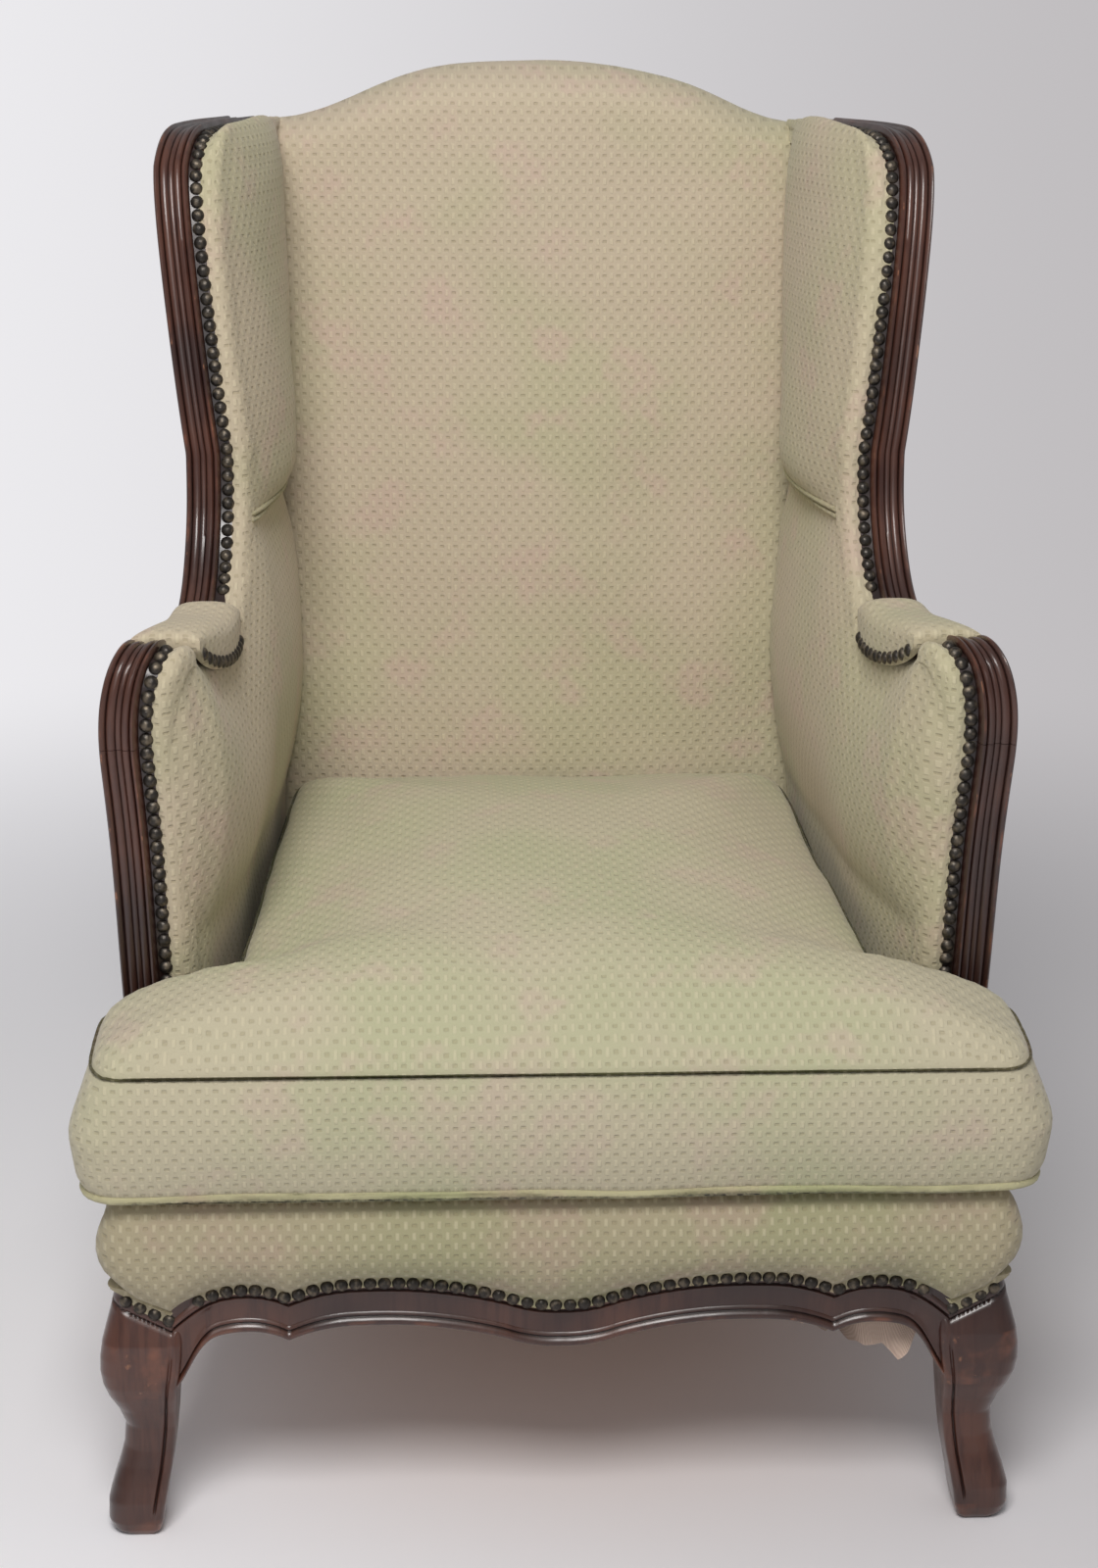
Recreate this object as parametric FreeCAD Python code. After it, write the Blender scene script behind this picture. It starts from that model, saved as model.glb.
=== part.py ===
"""Wingback armchair with a show-wood frame, a loose T cushion and nailed upholstery.

Millimetres. +X is the right side seen from the front, +Y points from the front to the back, +Z is up.
Every length along Y is given behind the front plane, which touches the front feet. At the end the whole
chair is moved along Y, so that the origin is on the floor below the middle of its outer box.
"""
import FreeCAD
import Part
import math
import os

from FreeCAD import Vector

# Seat frame
knee_half_width = 356.0
post_outer_x = 345.0
post_size = 45.0
rail_bottom_z = 168.0
rail_top_z = 245.0
front_rail_thickness = 28.0
side_rail_thickness = 40.0
back_rail_thickness = 28.0

# Scalloped lower edge of the front rail, right half: each arc is start, middle, end as (x, z)
apron_arcs = (
    ((0.0, 155.0), (22.0, 156.5), (42.0, 162.0)),
    ((42.0, 162.0), (92.0, 172.5), (155.0, 175.5)),
    ((155.0, 175.5), (186.0, 172.0), (211.0, 163.5)),
    ((211.0, 163.5), (226.0, 169.5), (243.0, 171.5)),
    ((243.0, 171.5), (274.0, 165.5), (300.0, 148.0)),
)
show_wood_height = 38.0
knee_notch_slope = 0.46

# Front legs: height, outer face and inner face, as distances from the middle of the chair
leg_sections = (
    (0.0, 352.0, 317.0),
    (10.0, 356.0, 313.0),
    (28.0, 356.0, 310.0),
    (55.0, 347.0, 305.0),
    (88.0, 341.0, 301.0),
    (118.0, 352.0, 298.5),
    (142.0, 357.0, 295.0),
    (164.0, 355.0, 292.0),
    (186.0, 349.5, 294.0),
    (204.0, 345.0, 298.0),
)
leg_corner_radius = 9.0
leg_top_section = 7

# Back posts, which are also the back legs
back_post_front_y = 570.0
back_post_depth = 36.0
back_post_inner_x = 245.0
back_post_outer_x = 276.0
back_outer_x = 285.0
back_post_top_z = 1030.0
back_foot_front_y = 652.0
back_foot_size = 33.0
back_leg_bend_z = 94.0
back_leg_bend_share = 0.2
lean_start_z = 250.0
lean_angle = 10.0

# Outer faces of the sides
side_rail_line_y = 56.0
side_rail_line_x = 345.0
arm_level_z = 650.0
arm_taper = 0.055
arm_flare = 31.0
arm_flare_end_y = 330.0
arm_flare_length = 230.0
head_lean = 12.0
head_lean_start_z = 600.0
head_lean_height = 92.0
wing_lean = 32.0
wing_lean_start_z = 790.0
wing_lean_height = 230.0
cover_thickness = 3.5
cover_allowance = 4.0
cover_edge_gap = 4.0
cover_steps = 12
cover_level_z = 628.0
wing_cover_slices = (0.0, 0.15, 0.35, 0.55, 0.75, 0.87, 0.94, 0.98, 1.0)

# Front and top line of the show-wood, from the foot of the stump to the back of the wing, as (y, z)
stump_line = ((130.0, 225.0), (121.0, 320.0), (110.0, 420.0), (103.0, 530.0), (93.0, 615.0))
arm_line = ((93.0, 615.0), (91.0, 655.0), (99.0, 681.0), (122.0, 692.0), (160.0, 684.0),
            (205.0, 673.0), (250.0, 669.0), (286.0, 675.0), (316.0, 692.0), (340.0, 717.0),
            (357.0, 748.0))
wing_line = ((357.0, 748.0), (364.0, 800.0), (374.0, 870.0), (388.0, 940.0), (402.0, 990.0),
             (422.0, 1026.0), (455.0, 1046.0), (500.0, 1051.0), (600.0, 1050.0), (720.0, 1047.0))

# Point inside the turn of the arm over its stump
arm_pivot_y = 142.0
arm_pivot_z = 641.0

# Section of the show-wood: face, rebate for the cover and nails, and depth
show_width = 28.0
rebate_width = 12.0
rebate_depth = 7.0
outer_face_depth = 34.0
member_depth = 46.0
ledge_depth = 30.0
outer_bead = 9.0
inner_bead_start = 20.0
bead_edge_depth = 5.0
bead_top_depth = 0.5
hollow_edge_depth = 3.5
hollow_depth = 6.5
arm_widening = 17.0
arm_widening_middle_y = 215.0
arm_widening_half_length = 95.0
stump_count = 9
arm_count = 30
wing_count = 32

# Hidden rails
tack_rail_thickness = 24.0
tack_rail_bottom_z = 292.0
tack_rail_height = 32.0
wing_rail_bottom_z = 700.0
wing_rail_height = 34.0
crest_bottom_z = 985.0
crest_padding = 14.0
crest_thickness = 30.0
crest_steps = 20

# Camel top of the back
crest_z = 1096.0
shoulder_z = 1044.0
crest_sharpness = 1.5

# Upholstery
soft_gap = 0.3
pad_gap = 0.5
deck_top_z = 286.7
deck_side_gap = 4.0
border_front_y = -8.0
border_half_width = 350.0
border_rear_y = 100.0
border_bottom_z = 212.0
border_strip = 9.5
border_stations = ((0.0, 0.0), (0.12, 0.0), (0.3, 0.0), (0.45, 0.0), (0.6, 0.0), (0.7, 0.0), (0.86, 0.0),
                   (0.955, 0.0), (0.985, 7.0), (1.0, 18.0))
border_top_share = 0.4
nail_line_rise = 3.2
back_pad_middle = 60.0
back_pad_side = 42.0
back_pad_bottom_z = 262.0
back_roll_drop = 0.5
back_roll_forward = 0.2
back_roll_rear = 0.4
side_pad_rear_gap = 47.0
arm_pad_bottom_thickness = 13.0
arm_pad_waist_thickness = 16.0
arm_pad_bulge = 34.0
arm_pad_top_thickness = 9.0
arm_pad_waist_z = 452.0
arm_pad_top_drop = 1.5
side_pad_bottom_z = 252.0
arm_pad_slices = ((0.0, 0.3), (0.03, 0.7), (0.09, 1.0), (0.2, 1.0), (0.32, 1.0), (0.44, 1.0), (0.56, 1.0),
                  (0.68, 1.0), (0.8, 1.0), (0.92, 0.9), (1.0, 0.8))
wing_seam_z = 736.0
wing_pad_slices = ((0.0, 0.85), (0.08, 1.0), (0.25, 1.0), (0.42, 1.0), (0.58, 1.0), (0.74, 1.0), (0.86, 0.95),
                   (0.93, 0.8), (0.975, 0.55), (1.0, 0.25))
wing_pad_peak = 0.45
wing_pad_bulge = 32.0
wing_pad_edge = 8.0

# Small pads on the arms
elbow_start_y = 146.0
elbow_end_y = 288.0
elbow_crown = 19.0
elbow_overhang = 2.0
elbow_wrap = 31.0
elbow_skirt = 8.0
elbow_slices = ((0.0, 0.35), (0.06, 0.75), (0.2, 1.0), (0.4, 1.0), (0.6, 1.0), (0.8, 1.0), (0.94, 0.75),
                (1.0, 0.35))
elbow_foot_share = 0.5
elbow_nail_share = 0.7

# Loose cushion
cushion_bottom_z = 287.0
cushion_front_y = -8.0
ear_half_width = 365.0
ear_rear_y = 98.0
neck_half_front = 259.0
neck_half_rear = 224.0
cushion_rear_y = 541.0
cushion_centre_y = 150.0
cushion_underside_inset = 13.0
cushion_underside_share = 0.97
welt_bottom_z = 294.0
welt_front_z = 394.0
cushion_rise = 6.3
cushion_crown = 48.0
welt_radius = 4.0
ear_radius = 30.0
ear_rear_radius = 18.0
neck_radius = 14.0
cushion_rear_radius = 26.0
boxing_levels = ((0.0, -2.0), (0.14, 3.0), (0.5, 7.0), (0.86, 3.0), (1.0, -2.0))
cushion_back_gap = 5.5
crown_steps = 7
crown_flat = 0.25

# Springs, webbing, fasteners
spring_count = 5
spring_wire_radius = 1.9
spring_loop_radius = 14.0
spring_half_width = 24.0
spring_pitch = 82.0
spring_clearance = 12.0
clip_height = 6.0
clip_half_width = 10.0
clip_half_length = 7.0
web_width = 50.0
web_thickness = 2.0
web_overlap = 20.0
web_rows = 6
web_columns = 4
web_first_z = 390.0
web_row_pitch = 94.0
web_column_pitch = 104.0
dowel_radius = 5.0
dowel_length = 50.0
dowel_low_z = 191.0
dowel_high_z = 214.0
member_dowel_depths = (16.0, 34.0)
screw_radius = 2.2
screw_head_radius = 4.4
screw_length = 34.0
screw_slant = 0.35
screw_inset_x = 36.0
screw_inset_y = 15.0
block_leg = 60.0
block_height = 40.0
nail_radius = 5.3
nail_height = 3.6
nail_pitch = 11.0
nail_walk_step = 0.5
nail_shank_radius = 0.9
nail_shank_length = 9.0
sheet_thickness = 1.2
dust_gap = 4.0
dust_side_share = 3.0
flap_set_back = 6.0
flap_swing = 3.0
flap_fold = 0.6
flap_drops = ((180.0, 8.0), (200.0, 13.0), (216.0, 7.0), (236.0, 24.0), (262.0, 30.0), (279.0, 14.0))

search_steps = 40
lean = math.tan(math.radians(lean_angle))
member_width = show_width + rebate_width
parts = {}


def line_wire(points):
    """Closed wire of straight edges through the points."""
    return Part.makePolygon(list(points) + [points[0]])


def mixed_wire(corners):
    """Closed wire of (point, via): via is None for a line to the next corner, or the middle of an arc."""
    edges = []
    following = corners[1:] + corners[:1]
    for (start, via), (end, _) in zip(corners, following):
        if via is None:
            edges.append(Part.LineSegment(start, end).toShape())
        else:
            edges.append(Part.Arc(start, via, end).toShape())
    return Part.Wire(edges)


def rounded_wire(points, radii, z):
    """Closed horizontal wire with a round of its own radius at each corner."""
    corners = [Vector(x, y, z) for x, y in points]
    count = len(corners)
    entries = []
    for index, corner in enumerate(corners):
        before = (corners[index - 1] - corner).normalize()
        after = (corners[(index + 1) % count] - corner).normalize()
        half = before.getAngle(after) / 2
        reach = radii[index] / math.tan(half)
        bisector = (before + after).normalize()
        via = corner + bisector * (radii[index] / math.sin(half) - radii[index])
        entries.append((corner + before * reach, via))
        entries.append((corner + after * reach, None))
    return mixed_wire(entries)


def loft(wires, ruled=False):
    """Solid through the wires."""
    return Part.makeLoft(list(wires), True, ruled)


def prism(points, direction):
    """Solid from a flat outline of straight edges."""
    return Part.Face(line_wire(points)).extrude(direction)


def mirrored(shape):
    """The same piece on the other side of the chair."""
    return shape.mirror(Vector(0, 0, 0), Vector(1, 0, 0))


def both_sides(name, shape):
    """Keep a right-hand piece and its left-hand copy."""
    parts[name + "_right"] = shape
    parts[name + "_left"] = mirrored(shape)


def back_plane_y(z):
    """Front face of the back posts at a height."""
    return back_post_front_y + max(0.0, z - lean_start_z) * lean


def rail_side_x(y):
    """Outer face of the side at rail level."""
    run = back_post_front_y - side_rail_line_y
    slope = (side_rail_line_x - back_outer_x) / run
    return side_rail_line_x - slope * (y - side_rail_line_y)


def arm_side_x(y):
    """Outer face of the side at arm level: a long taper with a flare at the front."""
    flare = max(0.0, (arm_flare_end_y - y) / arm_flare_length)
    return back_outer_x + arm_taper * max(0.0, back_plane_y(arm_level_z) - y) + arm_flare * flare ** 2


def side_x(y, z):
    """Outer face of the side anywhere."""
    share = min(1.0, max(0.0, (z - rail_top_z) / (arm_level_z - rail_top_z)))
    flat = rail_side_x(y) * (1 - share) + arm_side_x(y) * share
    flare = max(0.0, (arm_flare_end_y - y) / arm_flare_length)
    head_rise = min(1.0, max(0.0, (z - head_lean_start_z) / head_lean_height))
    rise = min(1.0, max(0.0, (z - wing_lean_start_z) / wing_lean_height))
    depth = max(0.0, (back_plane_y(z) - y) / (back_plane_y(z) - wing_line[0][0]))
    return flat - head_lean * (flare * head_rise) ** 2 + wing_lean * rise * min(1.0, depth)


def apron_z(x):
    """Lower edge of the front rail at a distance from the middle, on the arcs."""
    for start, middle, end in apron_arcs:
        if x <= end[0]:
            break
    circle = Part.Circle(*[Vector(px, 0, pz) for px, pz in (start, middle, end)])
    centre = circle.Center
    drop = math.sqrt(max(0.0, circle.Radius ** 2 - (x - centre.x) ** 2))
    return centre.z + math.copysign(drop, middle[1] - centre.z)


def leg_front_y(z):
    """Front of the leg's knee at a height."""
    for (low_z, low_x, _), (high_z, high_x, _) in zip(leg_sections, leg_sections[1:]):
        if z <= high_z:
            share = (z - low_z) / (high_z - low_z)
            return knee_half_width - (low_x + (high_x - low_x) * share)
    return knee_half_width - post_outer_x


def nail_line_z(x):
    """Height of the front row of nails, which dips in a V beside each knee."""
    rail_end = apron_arcs[-1][2][0]
    if x <= rail_end:
        return apron_z(x) + show_wood_height
    foot = apron_z(rail_end) + show_wood_height
    return foot + (x - rail_end) * knee_notch_slope


def camel_z(x):
    """Top edge of the back at a distance from the middle."""
    share = min(1.0, abs(x) / back_post_inner_x) ** crest_sharpness
    return shoulder_z + (crest_z - shoulder_z) * (1 + math.cos(math.pi * share)) / 2


# Front line of the show-wood as one smooth curve, cut at the two glued joints
line_points = stump_line + arm_line[1:] + wing_line[1:]
wood_line = Part.BSplineCurve()
wood_line.interpolate([Vector(0, y, z) for y, z in line_points])


def line_parameter(point):
    """Parameter of the show-wood line at one of its points."""
    return wood_line.parameter(Vector(0, point[0], point[1]))


stump_start = line_parameter(stump_line[0])
stump_end = line_parameter(stump_line[-1])
arm_end = line_parameter(arm_line[-1])
wing_end = line_parameter(wing_line[-1])


def line_frame(parameter):
    """Point on the show-wood line and the outward normal there."""
    point = wood_line.value(parameter)
    along = wood_line.tangent(parameter)[0]
    return point, Vector(0, -along.z, along.y)


def arm_width_at(y):
    """Extra width of the arm under the elbow pad."""
    share = (y - arm_widening_middle_y) / arm_widening_half_length
    return arm_widening * max(0.0, 1 - share ** 2)


def inward_direction(parameter):
    """Way from the show-wood's face into the wood, fanned about one point over the stump."""
    point, normal = line_frame(parameter)
    pivot = Vector(0, arm_pivot_y, arm_pivot_z)
    if point.z > pivot.z and point.y < pivot.y:
        return (pivot - point).normalize()
    return normal * -1


def member_section(parameter, widened):
    """Moulded section of the show-wood across its line."""
    point = wood_line.value(parameter)
    inside = inward_direction(parameter)
    extra = arm_width_at(point.y) if widened else 0.0

    def place(inward, depth):
        spot = point + inside * depth
        return Vector(side_x(spot.y, spot.z) - inward, spot.y, spot.z)

    hollow_middle = (outer_bead + inner_bead_start) / 2
    inner_bead_middle = (inner_bead_start + show_width) / 2
    return mixed_wire([
        (place(0, bead_edge_depth), place(outer_bead / 2, bead_top_depth)),
        (place(outer_bead, hollow_edge_depth), place(hollow_middle, hollow_depth)),
        (place(inner_bead_start, hollow_edge_depth), place(inner_bead_middle, bead_top_depth)),
        (place(show_width, bead_edge_depth), None),
        (place(show_width, rebate_depth), None),
        (place(member_width + extra, rebate_depth), None),
        (place(member_width + extra, ledge_depth), None),
        (place(member_width, ledge_depth + 1), None),
        (place(member_width, member_depth), None),
        (place(cover_allowance, member_depth), None),
        (place(cover_allowance, outer_face_depth), None),
        (place(0, outer_face_depth), None),
    ])


def member(start, end, count, widened=False):
    """Show-wood between two parameters of its line."""
    steps = [start + (end - start) * step / (count - 1) for step in range(count)]
    return loft([member_section(step, widened) for step in steps], ruled=True)


def block_behind_back():
    """Everything behind the leaning front plane of the back posts."""
    far = back_post_front_y + crest_z
    outline = (
        Vector(-far, back_plane_y(rail_bottom_z), 0),
        Vector(-far, back_plane_y(rail_bottom_z), lean_start_z),
        Vector(-far, back_plane_y(crest_z + lean_start_z), crest_z + lean_start_z),
        Vector(-far, far * 2, crest_z + lean_start_z),
        Vector(-far, far * 2, 0),
    )
    return prism(outline, Vector(2 * far, 0, 0))


behind_back = block_behind_back()


def plan_block(corners, bottom, top):
    """Upright block over a plan outline."""
    return prism([Vector(x, y, bottom) for x, y in corners], Vector(0, 0, top - bottom))


def leg_section(z, outer, inner):
    """Rounded square of the front leg, set on the diagonal."""
    front = knee_half_width - outer
    rear = knee_half_width - inner
    corners = ((inner, front), (outer, front), (outer, rear), (inner, rear))
    return rounded_wire(corners, [leg_corner_radius] * 4, z)


def front_leg():
    """Cabriole leg with its square post."""
    shaft = loft([leg_section(*section) for section in leg_sections])
    front = knee_half_width - post_outer_x
    inner = post_outer_x - post_size
    rear = front + post_size
    corners = ((inner, front), (post_outer_x, front), (post_outer_x, rear), (inner, rear))
    post = plan_block(corners, leg_sections[leg_top_section][0], rail_top_z)
    return shaft.fuse(post).removeSplitter()


def front_rail():
    """Scalloped rail between the front posts."""
    front = knee_half_width - post_outer_x
    edges = []
    for side in (1, -1):
        for start, middle, end in apron_arcs:
            ends = [Vector(side * x, front, z) for x, z in (start, middle, end)]
            edges.append(Part.Arc(*ends).toShape())
    reach, end_z = apron_arcs[-1][2]
    corners = [Vector(reach, front, end_z), Vector(reach, front, rail_top_z),
               Vector(-reach, front, rail_top_z), Vector(-reach, front, end_z)]
    for start, end in zip(corners, corners[1:]):
        edges.append(Part.LineSegment(start, end).toShape())
    wire = Part.Wire(Part.__sortEdges__(edges))
    return Part.Face(wire).extrude(Vector(0, front_rail_thickness, 0))


def side_rail():
    """Side rail: show-wood below, set back for the cover above."""
    front = knee_half_width - post_outer_x + post_size
    rear = back_post_front_y
    levels = ((rail_bottom_z, border_bottom_z - nail_radius, 0.0),
              (border_bottom_z - nail_radius, rail_top_z, cover_allowance))
    blocks = []
    for bottom, top, inset in levels:
        corners = ((rail_side_x(front) - inset, front), (rail_side_x(rear) - inset, rear),
                   (rail_side_x(rear) - side_rail_thickness, rear),
                   (rail_side_x(front) - side_rail_thickness, front))
        blocks.append(plan_block(corners, bottom, top))
    return blocks[0].fuse(blocks[1]).removeSplitter()


def back_post():
    """Upright of the back and raked back leg in one piece."""
    x = back_post_inner_x
    front_top = back_plane_y(back_post_top_z)
    rear = back_post_front_y + back_post_depth
    foot_rear = back_foot_front_y + back_foot_size
    front_via = Vector(x, back_post_front_y + (back_foot_front_y - back_post_front_y) * back_leg_bend_share,
                       back_leg_bend_z)
    rear_via = Vector(x, rear + (foot_rear - rear) * back_leg_bend_share, back_leg_bend_z)
    wire = mixed_wire([
        (Vector(x, front_top, back_post_top_z), None),
        (Vector(x, back_post_front_y, lean_start_z), None),
        (Vector(x, back_post_front_y, rail_bottom_z), front_via),
        (Vector(x, back_foot_front_y, 0), None),
        (Vector(x, foot_rear, 0), rear_via),
        (Vector(x, rear, rail_bottom_z), None),
        (Vector(x, rear, lean_start_z), None),
        (Vector(x, front_top + back_post_depth, back_post_top_z), None),
    ])
    return Part.Face(wire).extrude(Vector(back_post_outer_x - back_post_inner_x, 0, 0))


def back_rail():
    """Rail between the back posts at seat level."""
    x = back_post_inner_x
    rear = back_post_front_y + back_post_depth
    corners = ((-x, rear - back_rail_thickness), (x, rear - back_rail_thickness), (x, rear), (-x, rear))
    return plan_block(corners, rail_bottom_z, rail_top_z)


def crest_rail():
    """Camel-shaped rail between the tops of the back posts."""
    def top(x):
        return camel_z(x) - crest_padding

    def place(x, z, rear):
        return Vector(x, back_plane_y(z) + rear, z)

    half = back_post_inner_x
    wires = []
    for step in range(crest_steps + 1):
        x = -half + 2 * half * step / crest_steps
        front = [place(x, crest_bottom_z, 0), place(x, top(x), 0)]
        rear = [place(x, top(x), crest_thickness), place(x, crest_bottom_z, crest_thickness)]
        wires.append(line_wire(front + rear))
    return loft(wires, ruled=True)


def back_tack_rail():
    """Rail low in the back that the inside back is tacked to."""
    half = back_post_inner_x
    low = tack_rail_bottom_z
    high = low + tack_rail_height
    return prism([Vector(-half, back_plane_y(low), low), Vector(-half, back_plane_y(high), high),
                  Vector(-half, back_plane_y(high) + back_rail_thickness, high),
                  Vector(-half, back_plane_y(low) + back_rail_thickness, low)], Vector(2 * half, 0, 0))


def side_strip(start_y, bottom, height, end_y):
    """Hidden rail along the inner faces of the side, up to the back post."""
    wires = []
    for y in (start_y, end_y):
        corners = []
        for z, inward in ((bottom, 0), (bottom + height, 0), (bottom + height, 1), (bottom, 1)):
            x = side_x(y, bottom) - member_width + tack_rail_thickness * (1 - inward)
            corners.append(Vector(x, y, z))
        wires.append(line_wire(corners))
    return loft(wires, ruled=True)


def arm_tack_rail(stump):
    """Rail above the seat rail, from the stump to the back post."""
    start = stump_line[1][0] + member_depth / 2
    strip = side_strip(start, tack_rail_bottom_z, tack_rail_height, back_plane_y(crest_z))
    return strip.cut(behind_back).cut(stump)


def wing_rail(arm, wing):
    """Rail level with the arm, from the foot of the wing to the back post."""
    start = arm_line[-1][0] + member_depth / 4
    strip = side_strip(start, wing_rail_bottom_z, wing_rail_height, back_plane_y(crest_z))
    return strip.cut(behind_back).cut(arm).cut(wing)


def corner_blocks():
    """Four blocks glued across the corners of the seat frame."""
    front = knee_half_width - post_outer_x
    inner_front = front + front_rail_thickness
    post_rear = front + post_size
    post_inner = post_outer_x - post_size
    inner_back = back_post_front_y + back_post_depth - back_rail_thickness

    def rail_inner(y):
        return rail_side_x(y) - side_rail_thickness

    outlines = (
        ((post_inner - block_leg, inner_front), (post_inner, inner_front), (post_inner, post_rear),
         (rail_inner(post_rear), post_rear), (rail_inner(post_rear + block_leg), post_rear + block_leg)),
        ((back_post_inner_x - block_leg, inner_back), (back_post_inner_x, inner_back),
         (back_post_inner_x, back_post_front_y), (rail_inner(back_post_front_y - block_leg),
                                                  back_post_front_y - block_leg)),
    )
    top = rail_top_z - spring_clearance
    blocks = []
    for outline in outlines:
        block = plan_block(outline, top - block_height, top)
        blocks.extend([block, mirrored(block)])
    return Part.makeCompound(blocks)


def screw(head, direction):
    """Countersunk wood screw: head point and the way it drives."""
    cone = Part.makeCone(screw_head_radius, screw_radius, screw_radius, head, direction)
    shank = Part.makeCylinder(screw_radius, screw_length, head, direction)
    return cone.fuse(shank).removeSplitter()


def corner_screws():
    """Two screws through each corner block, square to its slanting face."""
    front = knee_half_width - post_outer_x
    inner_front = front + front_rail_thickness
    inner_back = back_post_front_y + back_post_depth - back_rail_thickness
    z = rail_top_z - spring_clearance - block_height / 2
    spots = []
    for height in (z - block_height / 4, z + block_height / 4):
        start = post_outer_x - post_size - screw_inset_x
        spots.append((Vector(start, inner_front + screw_inset_y, height), Vector(screw_slant, -1, 0)))
        start = back_post_inner_x - screw_inset_x
        spots.append((Vector(start, inner_back - screw_inset_y, height), Vector(screw_slant, 1, 0)))
    screws = []
    for head, direction in spots:
        piece = screw(head, direction)
        screws.extend([piece, mirrored(piece)])
    return Part.makeCompound(screws)


def dowel(point, direction):
    """Dowel centred on a joint."""
    along = Vector(direction).normalize()
    return Part.makeCylinder(dowel_radius, dowel_length, point - along * (dowel_length / 2), along)


def frame_dowels():
    """Two dowels in each joint of the frame on the right side, and their mirror copies."""
    front = knee_half_width - post_outer_x
    across = Vector(1, 0, 0)
    back = Vector(0, 1, 0)
    spots = []
    for z in (dowel_low_z, dowel_high_z):
        spots.append((Vector(post_outer_x - post_size, front + front_rail_thickness / 2, z), across))
        spots.append((Vector(post_outer_x - post_size / 2, front + post_size, z), back))
        x = (back_post_inner_x + back_post_outer_x) / 2
        spots.append((Vector(x, back_post_front_y, z), back))
        y = back_post_front_y + back_post_depth - back_rail_thickness / 2
        spots.append((Vector(back_post_inner_x, y, z), across))
    tack_z = tack_rail_bottom_z + tack_rail_height / 2
    spots.append((Vector(back_post_inner_x, back_plane_y(tack_z) + back_rail_thickness / 2, tack_z), across))
    for z in (crest_bottom_z + dowel_radius * 2, shoulder_z - crest_padding - dowel_radius * 3):
        spots.append((Vector(back_post_inner_x, back_plane_y(z) + crest_thickness / 2, z), across))
    for parameter in (stump_end, arm_end):
        point, normal = line_frame(parameter)
        along = wood_line.tangent(parameter)[0]
        for depth in member_dowel_depths:
            spot = point - normal * depth
            spots.append((Vector(side_x(point.y, point.z) - member_width / 2, spot.y, spot.z), along))
    foot_y = stump_line[0][0] + member_depth / 2
    for y in (foot_y - member_depth / 4, foot_y + member_depth / 4):
        spots.append((Vector(rail_side_x(y) - side_rail_thickness / 2, y, rail_top_z), Vector(0, 0, 1)))
    pegs = []
    for point, direction in spots:
        peg = dowel(point, direction)
        pegs.extend([peg, mirrored(peg)])
    return Part.makeCompound(pegs)


def sweep(path, radius):
    """Round tube along a path of lines and arcs."""
    first = path.OrderedEdges[0]
    start = first.valueAt(first.FirstParameter)
    along = first.tangentAt(first.FirstParameter)
    ring = Part.Wire(Part.makeCircle(radius, start, along))
    return path.makePipeShell([ring], True, False)


def zigzag_spring(x):
    """Zigzag spring from the front rail to the back rail."""
    front = knee_half_width - post_outer_x + front_rail_thickness / 2
    rear = back_post_front_y + back_post_depth - back_rail_thickness / 2
    loops = round((rear - front) / (2 * spring_loop_radius))
    pitch = (rear - front) / loops
    radius = pitch / 2
    z = rail_top_z + spring_wire_radius + soft_gap
    reach = spring_half_width - radius
    edges = []
    side = 1
    for loop in range(loops + 1):
        y = front + loop * pitch
        start = Vector(x - side * reach, y, z)
        end = Vector(x + side * reach, y, z)
        edges.append(Part.LineSegment(start, end).toShape())
        if loop < loops:
            via = Vector(x + side * (reach + radius), y + radius, z)
            edges.append(Part.Arc(end, via, end + Vector(0, pitch, 0)).toShape())
        side = -side
    return sweep(Part.Wire(edges), spring_wire_radius)


def spring_places():
    """Distances of the springs from the middle of the chair."""
    return [(index - (spring_count - 1) / 2) * spring_pitch for index in range(spring_count)]


def spring_clips():
    """Clips that hold the ends of the springs on the rails."""
    front = knee_half_width - post_outer_x + front_rail_thickness / 2
    rear = back_post_front_y + back_post_depth - back_rail_thickness / 2
    z = rail_top_z + spring_wire_radius + soft_gap
    clips = []
    for x in spring_places():
        for y in (front, rear):
            corner = Vector(x - clip_half_width, y - clip_half_length, rail_top_z)
            block = Part.makeBox(clip_half_width * 2, clip_half_length * 2, clip_height, corner)
            start = Vector(x - clip_half_width, y, z)
            bore = Part.makeCylinder(spring_wire_radius, clip_half_width * 2, start, Vector(1, 0, 0))
            clips.append(block.cut(bore))
    return Part.makeCompound(clips)


def deck_outline():
    """Plan outline of the seat deck, drawn in from the inner arms."""
    front = border_rear_y + soft_gap
    rear = back_plane_y(back_pad_bottom_z) - back_pad_middle - pad_gap

    def edge(y):
        return rail_side_x(y) - member_width - arm_pad_bottom_thickness - deck_side_gap

    return ((-edge(front), front), (edge(front), front), (edge(rear), rear), (-edge(rear), rear))


def seat_hessian():
    """Sheet of hessian over the springs."""
    bottom = rail_top_z + clip_height + soft_gap
    return plan_block(deck_outline(), bottom, bottom + sheet_thickness)


def seat_deck():
    """Padded deck under the cushion."""
    bottom = rail_top_z + clip_height + 2 * soft_gap + sheet_thickness
    return plan_block(deck_outline(), bottom, deck_top_z)


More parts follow.
